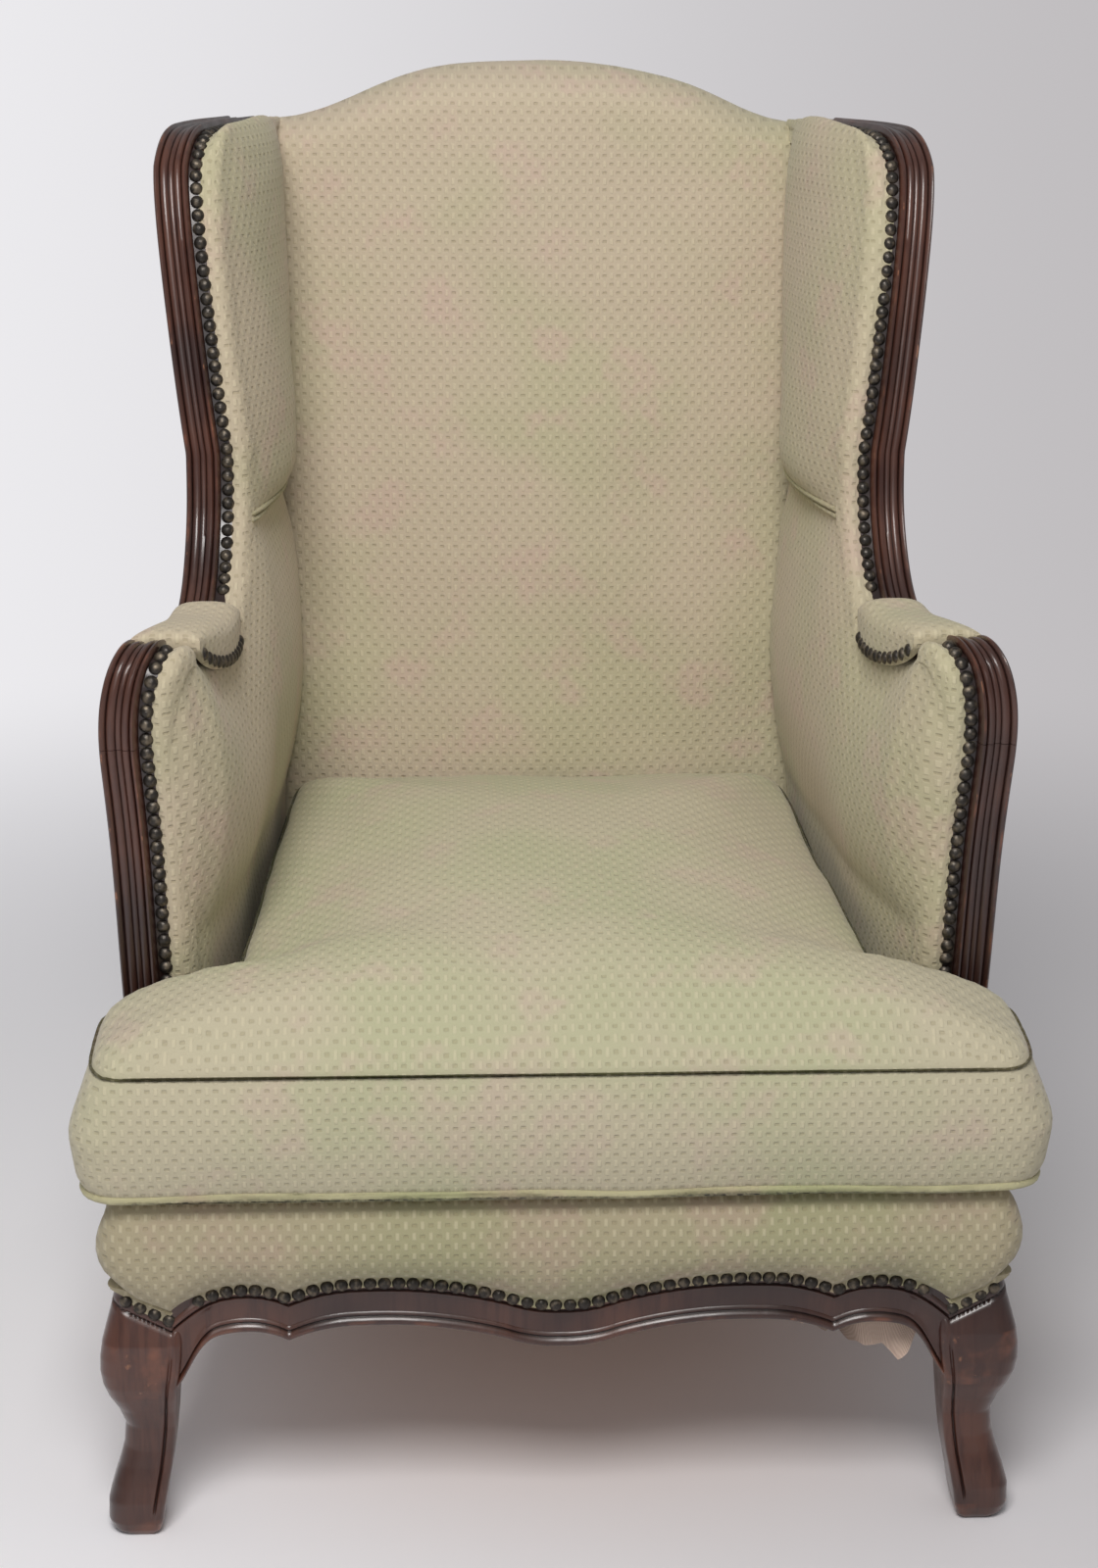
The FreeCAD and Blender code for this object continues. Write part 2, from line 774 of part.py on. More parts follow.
def back_webbing():
    """Straps across and down the back frame."""
    straps = []
    half = back_post_inner_x + web_overlap
    for row in range(web_rows):
        low = web_first_z + row * web_row_pitch - web_width / 2
        high = low + web_width
        straps.append(prism([Vector(-half, back_plane_y(low), low), Vector(-half, back_plane_y(high), high),
                             Vector(-half, back_plane_y(high) - web_thickness, high),
                             Vector(-half, back_plane_y(low) - web_thickness, low)], Vector(2 * half, 0, 0)))
    low = tack_rail_bottom_z + tack_rail_height / 4
    high = crest_bottom_z + web_overlap
    for column in range(web_columns):
        left = (column - (web_columns - 1) / 2) * web_column_pitch - web_width / 2
        strap = [Vector(left, back_plane_y(z) - web_thickness, z) for z in (low, high)]
        strap += [Vector(left, back_plane_y(z) - 2 * web_thickness, z) for z in (high, low)]
        straps.append(prism(strap, Vector(web_width, 0, 0)))
    return Part.makeCompound(straps)


def border_profile(x, shrink):
    """Section of the front border: a flat strip for the nails, a full front and a flat top."""
    post_front = knee_half_width - post_outer_x
    rail_half = post_outer_x - post_size
    low = nail_line_z(min(abs(x), rail_half)) - nail_line_rise
    if abs(x) > rail_half:
        low = leg_sections[-1][0] + soft_gap
    front = post_front - sheet_thickness - soft_gap
    strip_top = low + border_strip
    top = deck_top_z - shrink * border_top_share
    under = rail_top_z + clip_height + soft_gap
    return mixed_wire([
        (Vector(x, front, low), None),
        (Vector(x, front, strip_top), Vector(x, border_front_y + shrink, (strip_top + deck_top_z) / 2)),
        (Vector(x, front + shrink, top), None),
        (Vector(x, border_rear_y - shrink, top), None),
        (Vector(x, border_rear_y - shrink, under), None),
        (Vector(x, post_front - soft_gap, under), None),
        (Vector(x, post_front - soft_gap, low), None),
    ])


def front_border():
    """Padded band over the front rail and under the front of the cushion."""
    left = [(-share, shrink) for share, shrink in reversed(border_stations[1:])]
    stations = left + list(border_stations)
    return loft([border_profile(share * border_half_width, shrink) for share, shrink in stations], ruled=True)


def inside_back():
    """Padded back with crown and camel top, wrapped over the crest rail."""
    rear_offset = 2 * web_thickness + soft_gap
    half = back_post_inner_x - pad_gap
    wires = []
    for step in range(crest_steps + 1):
        x = -half + 2 * half * step / crest_steps
        crown = 1 - (x / back_post_inner_x) ** 2
        depth = back_pad_side + (back_pad_middle - back_pad_side) * crown
        top = camel_z(x)
        rail_top = top - crest_padding + soft_gap
        shoulder = top - depth * back_roll_drop

        def place(z, forward, x=x):
            return Vector(x, back_plane_y(z) - forward, z)

        wires.append(mixed_wire([
            (place(back_pad_bottom_z, rear_offset), None),
            (place(rail_top, rear_offset), None),
            (place(rail_top, -crest_thickness), None),
            (place(rail_top + crest_padding * back_roll_rear, -crest_thickness),
             place(top, depth * back_roll_forward)),
            (place(shoulder, depth), None),
            (place(back_pad_bottom_z, depth), None),
        ]))
    return loft(wires, ruled=True)


def inset_point(parameter, depth):
    """Point of the show-wood line set in by a depth."""
    return wood_line.value(parameter) + inward_direction(parameter) * depth


def line_height(y, depth):
    """Height at a given Y of the show-wood line set in by a depth, on the arm's stretch."""
    low = line_parameter(arm_line[1])
    high = arm_end
    for _ in range(search_steps):
        middle = (low + high) / 2
        if inset_point(middle, depth).y < y:
            low = middle
        else:
            high = middle
    return inset_point(low, depth).z


def line_depth(z, depth):
    """Y at a given height of the show-wood line set in by a depth, on the wing's stretch."""
    low = arm_end
    high = wing_end
    for _ in range(search_steps):
        middle = (low + high) / 2
        if inset_point(middle, depth).z < z:
            low = middle
        else:
            high = middle
    return inset_point(low, depth).y


def side_pad_y(share, z):
    """Y of a slice of the arm's upholstery: from the stump's rebate to the inside back."""
    foot_y, foot_z = stump_line[0]
    head_y, head_z = stump_line[-1]
    front = foot_y + (z - foot_z) * (head_y - foot_y) / (head_z - foot_z) + rebate_depth + pad_gap
    rear = back_post_front_y + (z - lean_start_z) * lean - side_pad_rear_gap
    return front + share * (rear - front)


def inside_arm():
    """Inner upholstery of the arm: thin below, full at elbow height, rolled at the front."""
    sweep_y = arm_line[7][0]
    wires = []
    for share, fullness in arm_pad_slices:
        guess = side_pad_y(share, arm_level_z)
        if guess < elbow_start_y:
            top = line_height(guess, rebate_depth) - pad_gap - arm_pad_top_drop
        elif guess < sweep_y:
            top = line_height(guess, ledge_depth) - pad_gap - arm_pad_top_drop
        else:
            rise = min(1.0, (guess - sweep_y) / (arm_line[-1][0] + rebate_depth - sweep_y))
            start = line_height(sweep_y, ledge_depth) - pad_gap - arm_pad_top_drop
            top = start + (wing_seam_z - pad_gap - start) * rise

        def place(z, thickness, share=share, fullness=fullness):
            y = side_pad_y(share, z)
            return Vector(side_x(y, z) - member_width - pad_gap - thickness * fullness, y, z)

        bulge_z = (arm_pad_waist_z + top) / 2
        wires.append(mixed_wire([
            (place(side_pad_bottom_z, 0), None),
            (place(side_pad_bottom_z, arm_pad_bottom_thickness), None),
            (place(arm_pad_waist_z, arm_pad_waist_thickness), place(bulge_z, arm_pad_bulge)),
            (place(top, arm_pad_top_thickness), None),
            (place(top, 0), None),
        ]))
    return loft(wires, ruled=True)


def inside_wing():
    """Inner upholstery of the wing, crowned and rolled over at the top."""
    low = wing_seam_z + pad_gap
    high = wing_line[-3][1] - rebate_depth - pad_gap
    wires = []
    for share, fullness in wing_pad_slices:
        z = low + share * (high - low)
        front = line_depth(z, rebate_depth) + pad_gap
        rear = back_plane_y(z) - side_pad_rear_gap

        def place(y, thickness, z=z, fullness=fullness):
            return Vector(side_x(y, z) - member_width - pad_gap - thickness * fullness, y, z)

        middle = front + (rear - front) * wing_pad_peak
        wires.append(mixed_wire([
            (place(front, 0), None),
            (place(front, wing_pad_edge), place(middle, wing_pad_bulge)),
            (place(rear, wing_pad_edge * 2), None),
            (place(rear, 0), None),
        ]))
    return loft(wires, ruled=True)


def elbow_pad():
    """Small crowned pad on the arm, wrapped down its inner edge."""
    wires = []
    for share, fullness in elbow_slices:
        y = elbow_start_y + share * (elbow_end_y - elbow_start_y)
        z = line_height(y, 0) + soft_gap
        outer = side_x(y, z) - elbow_overhang
        wood_inner = side_x(y, z) - member_width - arm_width_at(y) - soft_gap
        wrap = elbow_wrap * fullness
        skirt = elbow_skirt * fullness
        middle = (outer + wood_inner) / 2
        wires.append(mixed_wire([
            (Vector(outer, y, z), Vector(middle, y, z + elbow_crown * fullness)),
            (Vector(wood_inner - skirt, y, z), None),
            (Vector(wood_inner - skirt * elbow_foot_share, y, z - wrap), None),
            (Vector(wood_inner, y, z - wrap), None),
            (Vector(wood_inner, y, z), None),
        ]))
    return loft(wires, ruled=True)


def cover_y(share, z):
    """Y of a slice of the outer arm cover, from the stump's ledge to the back post."""
    foot_y, foot_z = stump_line[0]
    head_y, head_z = stump_line[-1]
    front = foot_y + (z - foot_z) * (head_y - foot_y) / (head_z - foot_z) + outer_face_depth + cover_edge_gap
    rear = back_post_front_y + (z - lean_start_z) * lean + back_post_depth
    return front + share * (rear - front)


def outside_arm():
    """Outer cover of the arm, between the side rail and the arm."""
    wires = []
    seam_z = wing_rail_bottom_z + wing_rail_height / 2 - pad_gap
    for step in range(cover_steps + 1):
        share = step / cover_steps
        guess = cover_y(share, arm_level_z)
        top = seam_z
        if guess < arm_line[-1][0] + outer_face_depth:
            top = min(seam_z, line_height(guess, outer_face_depth) - cover_edge_gap)
        corners = []
        levels = (border_bottom_z, rail_top_z, arm_pad_waist_z, head_lean_start_z, cover_level_z, top)
        for z, inset in [(z, 0.0) for z in levels] + [(z, cover_thickness) for z in reversed(levels)]:
            y = cover_y(share, z)
            corners.append(Vector(side_x(y, z) - inset, y, z))
        wires.append(line_wire(corners))
    return loft(wires, ruled=True)


def outside_wing():
    """Outer cover of the wing."""
    low = wing_rail_bottom_z + wing_rail_height / 2
    high = wing_line[-2][1] - outer_face_depth - cover_edge_gap
    wires = []
    for share in wing_cover_slices:
        z = low + share * (high - low)
        front = line_depth(z, outer_face_depth) + cover_edge_gap
        rear = back_plane_y(z) + back_post_depth
        middle = (front + rear) / 2
        wires.append(line_wire([Vector(side_x(y, z) - inset, y, z) for y, inset in (
            (front, 0.0), (middle, 0.0), (rear, 0.0), (rear, cover_thickness), (middle, cover_thickness),
            (front, cover_thickness))]))
    return loft(wires, ruled=True)


def outside_back():
    """Outer cover of the back, from the back rail to the crest."""
    half = back_post_outer_x
    wires = []
    for step in range(crest_steps + 1):
        x = -half + 2 * half * step / crest_steps
        top = camel_z(x) - crest_padding
        corners = []
        for z, offset in ((border_bottom_z, 0), (lean_start_z, 0), (top, 0), (top, 1), (lean_start_z, 1),
                          (border_bottom_z, 1)):
            y = back_plane_y(z) + back_post_depth + pad_gap + offset * cover_thickness
            corners.append(Vector(x, y, z))
        wires.append(line_wire(corners))
    return loft(wires, ruled=True)


def cushion_outline(ear_x, front, ear_rear, neck, rear_x, rear, z, share):
    """T-shaped plan outline with rounded corners."""
    right = [(ear_x, front), (ear_x, ear_rear), (neck, ear_rear), (rear_x, rear)]
    left = [(-x, y) for x, y in reversed(right)]
    radii = [radius * share for radius in (ear_radius, ear_rear_radius, neck_radius, cushion_rear_radius)]
    return rounded_wire(right + left, radii + radii[::-1], z)


def cushion_level(base_z, rise, grow, share):
    """One level of the cushion: height, tilt, growth of the front and ears, and share of the full outline."""
    rear_z = base_z + math.tan(math.radians(rise)) * cushion_rear_y
    rear = back_plane_y(rear_z) - back_pad_middle - pad_gap - cushion_back_gap
    rear = min(rear, cushion_rear_y)

    def drawn(y):
        return cushion_centre_y + (y - cushion_centre_y) * share

    wire = cushion_outline((ear_half_width + grow) * share, drawn(cushion_front_y - grow), drawn(ear_rear_y),
                           neck_half_front * share, neck_half_rear * share, drawn(rear), base_z, share)
    wire.rotate(Vector(0, 0, base_z), Vector(1, 0, 0), rise)
    return wire


def seat_cushion(welts):
    """Loose T cushion: bulging boxing between two seams, and a crown."""
    height = welt_front_z - welt_bottom_z
    levels = [cushion_level(cushion_bottom_z, 0, -cushion_underside_inset, cushion_underside_share)]
    for share, bulge in boxing_levels:
        levels.append(cushion_level(welt_bottom_z + height * share, cushion_rise * share, bulge, 1.0))
    for step in range(1, crown_steps + 1):
        angle = math.pi / 2 * step / crown_steps
        share = crown_flat + (1 - crown_flat) * math.cos(angle)
        top = welt_front_z + cushion_crown * math.sin(angle)
        levels.append(cushion_level(top, cushion_rise, boxing_levels[-1][1], share))
    return loft(levels, ruled=True).cut(welts)


def cushion_welts():
    """Piping along the lower and upper seams of the cushion."""
    lower = cushion_level(welt_bottom_z, 0, 0, 1.0)
    upper = cushion_level(welt_front_z, cushion_rise, 0, 1.0)
    return Part.makeCompound([sweep(lower, welt_radius), sweep(upper, welt_radius)])


def nail_shape():
    """Dome nail on its shank, with the head's rim at the origin and pointing up."""
    sphere_radius = (nail_radius ** 2 + nail_height ** 2) / (2 * nail_height)
    half_angle = math.asin(nail_radius / sphere_radius) / 2
    drop = sphere_radius * (1 - math.cos(half_angle))
    half = mixed_wire([
        (Vector(0, 0, nail_height), Vector(sphere_radius * math.sin(half_angle), 0, nail_height - drop)),
        (Vector(nail_radius, 0, 0), None),
        (Vector(nail_shank_radius, 0, 0), None),
        (Vector(nail_shank_radius, 0, -nail_shank_length), None),
        (Vector(0, 0, -nail_shank_length), None),
    ])
    return Part.Face(half).revolve(Vector(0, 0, 0), Vector(0, 0, 1), 360)


def nails(spots):
    """Copies of the nail at each (point, outward normal)."""
    nail = nail_shape()
    copies = []
    for point, normal in spots:
        turn = FreeCAD.Rotation(Vector(0, 0, 1), normal)
        copies.append(nail.transformed(FreeCAD.Placement(point, turn).toMatrix(), True))
    return Part.makeCompound(copies)


def spaced(start, end, pitch):
    """Evenly spaced values from start to end, about a pitch apart."""
    count = max(1, round((end - start) / pitch))
    return [start + (end - start) * (index + 0.5) / count for index in range(count)]


def line_nails(start, end, depth, inward, sideways):
    """Nails along the show-wood line, facing out from its face or sideways from its flank."""
    steps = round(wood_line.length(start, end) / nail_walk_step)
    spots = []
    for step in range(steps + 1):
        parameter = wood_line.parameterAtDistance(step * nail_walk_step, start)
        inside = inward_direction(parameter)
        spot = wood_line.value(parameter) + inside * depth
        spot.x = side_x(spot.y, spot.z) - inward
        if not spots or (spot - spots[-1][0]).Length >= nail_pitch:
            spots.append((spot, Vector(1, 0, 0) if sideways else inside * -1))
    return nails(spots)


def front_nails():
    """Row of nails along the scalloped rail, dipping in a V at each knee."""
    half = post_outer_x - nail_radius
    post_front = knee_half_width - post_outer_x
    rail_half = post_outer_x - post_size
    spots = []
    for x in spaced(-half, half, nail_pitch):
        z = nail_line_z(abs(x))
        y = post_front - sheet_thickness
        if abs(x) > rail_half:
            y = leg_front_y(z) - sheet_thickness
        spots.append((Vector(x, y, z), Vector(0, -1, 0)))
    return nails(spots)


def side_rail_nails():
    """Row of nails along the lower edge of the outer arm cover."""
    start = knee_half_width - post_outer_x + post_size
    spots = []
    for y in spaced(start, back_post_front_y, nail_pitch):
        spots.append((Vector(rail_side_x(y), y, border_bottom_z + nail_radius), Vector(1, 0, 0)))
    return nails(spots)


def elbow_nails():
    """Nails along the lower inner edge and the outer edge of the elbow pad."""
    spots = []
    for y in spaced(elbow_start_y + nail_radius, elbow_end_y - nail_radius, nail_pitch):
        z = line_height(y, 0)
        inner = side_x(y, z) - member_width - arm_width_at(y) - elbow_skirt * elbow_foot_share
        spots.append((Vector(inner, y, z - elbow_wrap * elbow_nail_share), Vector(-1, 0, 0)))
    return nails(spots)


def dust_cover():
    """Thin cloth under the seat frame, cut round the legs."""
    front = knee_half_width - post_outer_x + front_rail_thickness + pad_gap
    leg_inner = leg_sections[leg_top_section][2] - dust_gap
    leg_rear = knee_half_width - leg_inner
    rear = back_post_front_y - dust_gap
    tail = back_post_front_y + back_post_depth - dust_gap

    def edge(y):
        return rail_side_x(y) - side_rail_thickness / dust_side_share

    right = [(leg_inner, front), (leg_inner, leg_rear), (edge(leg_rear), leg_rear), (edge(rear), rear),
             (back_post_inner_x - dust_gap, rear), (back_post_inner_x - dust_gap, tail)]
    left = [(-x, y) for x, y in reversed(right)]
    return plan_block(right + left, rail_bottom_z - sheet_thickness, rail_bottom_z)


def dust_cover_flap():
    """Torn strip that hangs from the front edge of the dust cover."""
    front = knee_half_width - post_outer_x + front_rail_thickness + pad_gap
    top = rail_bottom_z - sheet_thickness
    wires = []
    for index, (x, drop) in enumerate(flap_drops):
        swing = flap_swing * (index % 2)
        near = ((flap_set_back, 0.0), (swing, drop * flap_fold), (swing * 2, drop))
        corners = [Vector(x, front + back + sheet_thickness, top - fall) for back, fall in near]
        corners += [Vector(x, front + back, top - fall) for back, fall in reversed(near)]
        wires.append(line_wire(corners))
    return loft(wires, ruled=True)


def fitted(shape, neighbours):
    """The shape with the room of its neighbours cut out of it."""
    for neighbour in neighbours:
        shape = shape.cut(neighbour)
    return shape


def build_frame(pegs):
    """Make the wooden frame and return its right-hand pieces."""
    leg = front_leg()
    wood = {"front_leg": leg, "side_rail": side_rail().cut(leg), "back_post": back_post()}
    wood["arm_stump"] = member(stump_start, stump_end, stump_count).cut(wood["side_rail"])
    wood["arm_rail"] = member(stump_end, arm_end, arm_count, widened=True)
    wood["wing_frame"] = member(arm_end, wing_end, wing_count).cut(behind_back)
    wood["arm_tack_rail"] = arm_tack_rail(wood["arm_stump"])
    wood["wing_rail"] = wing_rail(wood["arm_rail"], wood["wing_frame"])
    for name, shape in wood.items():
        both_sides(name, fitted(shape, pegs))
    legs = [leg, mirrored(leg)]
    middle = {"front_rail": fitted(front_rail(), legs), "back_rail": back_rail(), "crest_rail": crest_rail(),
              "back_tack_rail": back_tack_rail(), "corner_blocks": fitted(corner_blocks(), legs)}
    for name, shape in middle.items():
        parts[name] = fitted(shape, pegs)
    return wood


def build_seat():
    """Make the springs, deck and border of the seat, and the loose cushion."""
    parts["seat_springs"] = Part.makeCompound([zigzag_spring(x) for x in spring_places()])
    parts["spring_clips"] = spring_clips()
    parts["seat_hessian"] = seat_hessian()
    parts["seat_deck"] = seat_deck()
    parts["front_border"] = front_border()
    parts["cushion_welts"] = cushion_welts()
    parts["seat_cushion"] = seat_cushion(parts["cushion_welts"])
    parts["dust_cover"] = dust_cover()
    parts["dust_cover_flap"] = dust_cover_flap()


def build_upholstery(wood):
    """Make the inner and outer covers of the back and sides."""
    arm = wood["arm_rail"]
    wing = wood["wing_frame"]
    parts["back_webbing"] = back_webbing()
    parts["inside_back"] = fitted(inside_back(), [wing, mirrored(wing)])
    parts["outside_back"] = outside_back()
    arm_cover = fitted(inside_arm(), [wood["arm_stump"], arm, wood["arm_tack_rail"], wood["wing_rail"]])
    both_sides("inside_arm", arm_cover)
    both_sides("inside_wing", fitted(inside_wing(), [arm, wing, wood["wing_rail"]]))
    both_sides("arm_pad", fitted(elbow_pad(), [arm]))
    both_sides("outside_arm", outside_arm())
    both_sides("outside_wing", outside_wing())


def build_nails():
    """Make the rows of dome nails."""
    parts["front_nails"] = front_nails()
    nail_inward = show_width + rebate_width / 2
    outer_depth = outer_face_depth + nail_radius + cover_edge_gap
    foot = line_parameter(stump_line[1])
    top_of_stump = line_parameter(arm_line[3])
    wing_start = line_parameter(arm_line[8])
    wing_stop = line_parameter(wing_line[-2])
    both_sides("stump_nails", line_nails(foot, top_of_stump, rebate_depth, nail_inward, False))
    both_sides("wing_nails", line_nails(wing_start, wing_stop, rebate_depth, nail_inward, False))
    both_sides("outer_nails", line_nails(foot, wing_stop, outer_depth, 0.0, True))
    both_sides("side_rail_nails", side_rail_nails())
    both_sides("arm_pad_nails", elbow_nails())


def write_files():
    """Centre the chair on its outer box and write one file for each piece."""
    os.makedirs("parts", exist_ok=True)
    box = Part.makeCompound(list(parts.values())).optimalBoundingBox(False, False)
    shift = Vector(-box.Center.x, -box.Center.y, 0)
    for name, shape in parts.items():
        shape.translate(shift)
        shape.exportStep("parts/" + name + ".step")
    print("box", round(box.XLength, 2), round(box.YLength, 2), round(box.ZMax, 2), "shift", round(shift.y, 3))


parts["frame_dowels"] = frame_dowels()
parts["corner_screws"] = corner_screws()
frame = build_frame([parts["frame_dowels"], parts["corner_screws"]])
build_seat()
build_upholstery(frame)
build_nails()
write_files()
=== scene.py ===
"""Looks of the wingback armchair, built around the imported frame.

Lengths of the shapes are in millimetres, y behind the front plane of the feet, and place() turns them into
the row frame in metres. Sizes in the materials, on the stage and of the unevenness are in metres.
"""
import math

import bmesh
import bpy
import numpy as np
from mathutils import Matrix, Vector, noise
from mathutils.bvhtree import BVHTree


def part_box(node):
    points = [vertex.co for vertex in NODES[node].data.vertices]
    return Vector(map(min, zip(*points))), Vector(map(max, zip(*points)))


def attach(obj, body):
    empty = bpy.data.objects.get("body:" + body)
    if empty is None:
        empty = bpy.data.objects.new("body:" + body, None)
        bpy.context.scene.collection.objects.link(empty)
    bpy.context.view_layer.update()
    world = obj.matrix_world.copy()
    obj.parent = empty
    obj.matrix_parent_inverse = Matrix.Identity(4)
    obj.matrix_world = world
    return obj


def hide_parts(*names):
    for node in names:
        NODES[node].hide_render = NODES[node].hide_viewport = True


MM = 0.001
RAIL_FRONT = 11.0
FRAME_BODY = "chair"
CUSHION_BODY = "cushion"

# Camera, fitted to the photograph
CAMERA_X = -0.09
CAMERA_BACK = 1.75
CAMERA_Z = 1.164
CAMERA_PITCH = 17.36
CAMERA_YAW = 2.51
CAMERA_ROLL = 0.3
CAMERA_LENS = 58.75
SENSOR = 36.0

# Pale paper and light. Colours with three values are 8-bit, those with four are scene values.
FLOOR_HALF = 60.0
PAPER_SHADE_SPREAD = (-0.25, 0.28)
# Both paper colours are painted shade: the paper goes from light at the left to darker at the right
PAPER_SEEN_PAINTED_SHADE = ((238, 237, 240), (192, 189, 191))
PAPER_BASE_PAINTED_SHADE = ((0.95, 0.94, 0.97, 1.0), (0.72, 0.7, 0.72, 1.0))
PAPER_FAR = (0.7, 2.4)
# Painted shadow: a brown tint of the floor's own colour under the chair, standing for its shade
PAINTED_SHADOW_UNDER_CHAIR = ((0.03, 0.0, 0.0), 0.5, (0.66, 0.52, 0.45, 1.0), 0.75)
WORLD_COLOUR = (0.97, 0.98, 1.0, 1.0)
WORLD_STRENGTH = 0.32
# name, place, aim, size, energy, colour
LIGHTS = (("key", (-0.35, -1.8, 2.65), (0, 0, 0.75), 1.1, 56, (1.0, 0.98, 0.96)),
          ("front", (-0.3, -3.2, 1.6), (0, 0, 0.9), 1.4, 7, (1.0, 1.0, 1.0)))

# Sides of the chair, as in the solids
LEAN = math.tan(math.radians(10.0))
LEAN_START = 250.0
BACK_FRONT = 570.0
BACK_OUTER = 285.0
RAIL_LINE_Y = 56.0
RAIL_LINE_X = 345.0
RAIL_TOP = 245.0
ARM_LEVEL = 650.0
ARM_TAPER = 0.055
ARM_FLARE = 31.0
FLARE_END = 330.0
FLARE_LENGTH = 230.0
HEAD_LEAN = 12.0
HEAD_START = 600.0
HEAD_HEIGHT = 92.0
WING_LEAN = 32.0
WING_START = 790.0
WING_HEIGHT = 230.0
PIVOT = (142.0, 641.0)
STUMP_LINE = ((130, 225), (121, 320), (110, 420), (103, 530), (93, 615))
ARM_LINE = ((91, 655), (99, 681), (122, 692), (160, 684), (205, 673), (250, 669), (286, 675), (316, 692),
            (340, 717), (357, 748))
WING_LINE = ((364, 800), (374, 870), (388, 940), (402, 990), (422, 1026), (455, 1046), (500, 1051),
             (600, 1050), (707, 1047))
MEMBER_WIDTH = 40.0
ARM_EXTRA = 8.0
ARM_EXTRA_Y = 215.0
ARM_EXTRA_HALF = 95.0
ARM_TOP_KNOTS = (6, 13)
ARM_TOP_POINTS = 160

# Moulding across the show-wood: (inward, depth, tone), the tone from 0 in a groove to 1 on a rubbed ridge
MOULDING = ((0, 33.5, 0.5), (0, 22, 0.5), (0, 9, 0.5), (0.1, 4, 0.6), (0.7, 2, 0.9), (2.2, 0.8, 1),
            (3.8, 1.2, 0.8), (4.8, 2.8, 0.2), (5.3, 4.2, 0), (6, 3.2, 0.3), (7.2, 2.4, 0.7), (9.6, 2, 0.8),
            (11.4, 2.8, 0.5), (12.1, 4.4, 0), (12.8, 3.8, 0.3), (14.4, 3.6, 0.7), (16, 3.8, 0.4),
            (16.6, 4.8, 0), (17.3, 3, 0.3), (18.6, 1.8, 0.7), (21.2, 1.4, 0.8), (22.4, 2.6, 0.3),
            (23, 4, 0), (23.6, 2.6, 0.3), (24.6, 1.2, 0.8), (26.2, 0.8, 1), (27.7, 2.6, 0.5),
            (28.2, 7.6, 0), (34, 7.8, 0.1), (39.6, 7.8, 0.2), (39.8, 29, 0.2), (39.6, 45.5, 0.2),
            (22, 45.5, 0.2), (4.2, 45.5, 0.2), (4.2, 34, 0.2))
EXTRA_FROM = 29
EXTRA_TO = 30
MEMBER_STEP = 4.0
JOINT_GAP = 0.25

# Cloth drawn over the rebate under the nails: (inward, depth)
SELVEDGE = ((27.9, 9.2), (28.3, 8.3), (30, 8.1), (37, 8), (40, 7), (42.5, 5.8), (45, 5.8), (49, 8.4),
            (52, 13), (54, 23), (28.2, 23))
SELVEDGE_DROP = 0.7
# Reach of the strips: first knot of the line, lead, last knot, lead
EDGES = (("arm_edge_", 1, -20.0, 7, 22.0), ("wing_edge_", 11, 6.0, -1, -6.0))
LEDGE_KNOTS = (7, 12)
LEDGE_LEAD = 4.0
LEDGE_FILL = ((36, 14), (47, 17), (53, 24), (55, 34), (56, 60), (36, 60))

# Small pads on the arms, and dome nails
ELBOW_START = 144.0
ELBOW_END = 290.0
ELBOW_WRAP = 22.0
ELBOW_CROWN = 17.0
ELBOW_SLOPE = 75.0
ELBOW_ROUND = 26.0
ELBOW_EXTRA = 9.0
ELBOW_PROUD = 1.0
ELBOW_SEAT = 2.5
ELBOW_POWER = 0.7
ELBOW_SLICES = 40
ELBOW_POINTS = 25
ELBOW_LEAST_HANG = 0.3
ELBOW_FOLDS = (0.3, 0.6, 0.85)
ELBOW_TUCK = 5.0
ELBOW_FLOOR = 8.0
ELBOW_FLOOR_INSETS = (14.0, 6.0)
ELBOW_NAIL_MARGIN = 8.0
ELBOW_NAIL_DROP = 0.7
NAIL_RADIUS = 5.3
NAIL_HEIGHT = 3.6
NAIL_PITCH = 11.0
NAIL_SIDES = 12
NAIL_LEVELS = 4

# Doubled seam between arm and wing
SEAM_HEIGHT = 736.0
SEAM_FRONT = 368.0
SEAM_REAR = 590.0
SEAM_POINTS = 46
SEAM_OFFSET = 2.6
SEAM_RADIUS = 2.1
SEAM_SINK = 0.6
CORD_SIDES = 8
SEAM_GROOVE = (SEAM_HEIGHT, 48.0, 150)

# Stuffing over the top of the wing: rise, and the heights, insets and depths over which it comes in
WING_TOP_RISE = 13.0
WING_TOP_FADE = ((985.0, 1040.0), (38.0, 56.0), (405.0, 470.0))

# Front rail and legs
APRON_ARCS = (((0, 155), (22, 156.5), (42, 162)), ((42, 162), (92, 172.5), (155, 175.5)),
              ((155, 175.5), (186, 172), (211, 163.5)), ((211, 163.5), (226, 169.5), (243, 171.5)),
              ((243, 171.5), (274, 165.5), (300, 148)))
KNEE_DROP = 22.0
KNEE_DROP_FROM = 262.0
KNEE_DROP_TO = 299.0
KNEE_FORWARD = 8.5
SHOW_HEIGHT = 38.0
V_SLOPE = 0.46
V_X = 300.0
RAIL_MOULDING = ((0, 0, 3, 0.5), (1.2, 0, 0.9, 0.9), (3.4, 0, 0.2, 1), (5.6, 0, 1, 0.7), (6.8, 0, 3.4, 0.1),
                 (7.6, 0, 4.2, 0), (8.8, 0, 3, 0.6), (10.4, 0, 3.2, 0.8), (0, 0.3, 4.6, 0.55),
                 (0, 0.5, 5, 0.5), (0, 0.7, 4.4, 0.5), (-10.6, 1, 2.8, 0.7), (-9.2, 1, 2.6, 0.6),
                 (-8, 1, 4.2, 0), (-7, 1, 3.4, 0.1), (-5.6, 1, 1, 0.7), (-3.4, 1, 0.2, 0.9),
                 (-1, 1, 1, 0.6), (0.6, 1, 2.6, 0.2), (8, 1, 3, 0.2), (30, 1, 3, 0.2))
RAIL_DEPTH = 28.0
RAIL_COLUMNS = 299
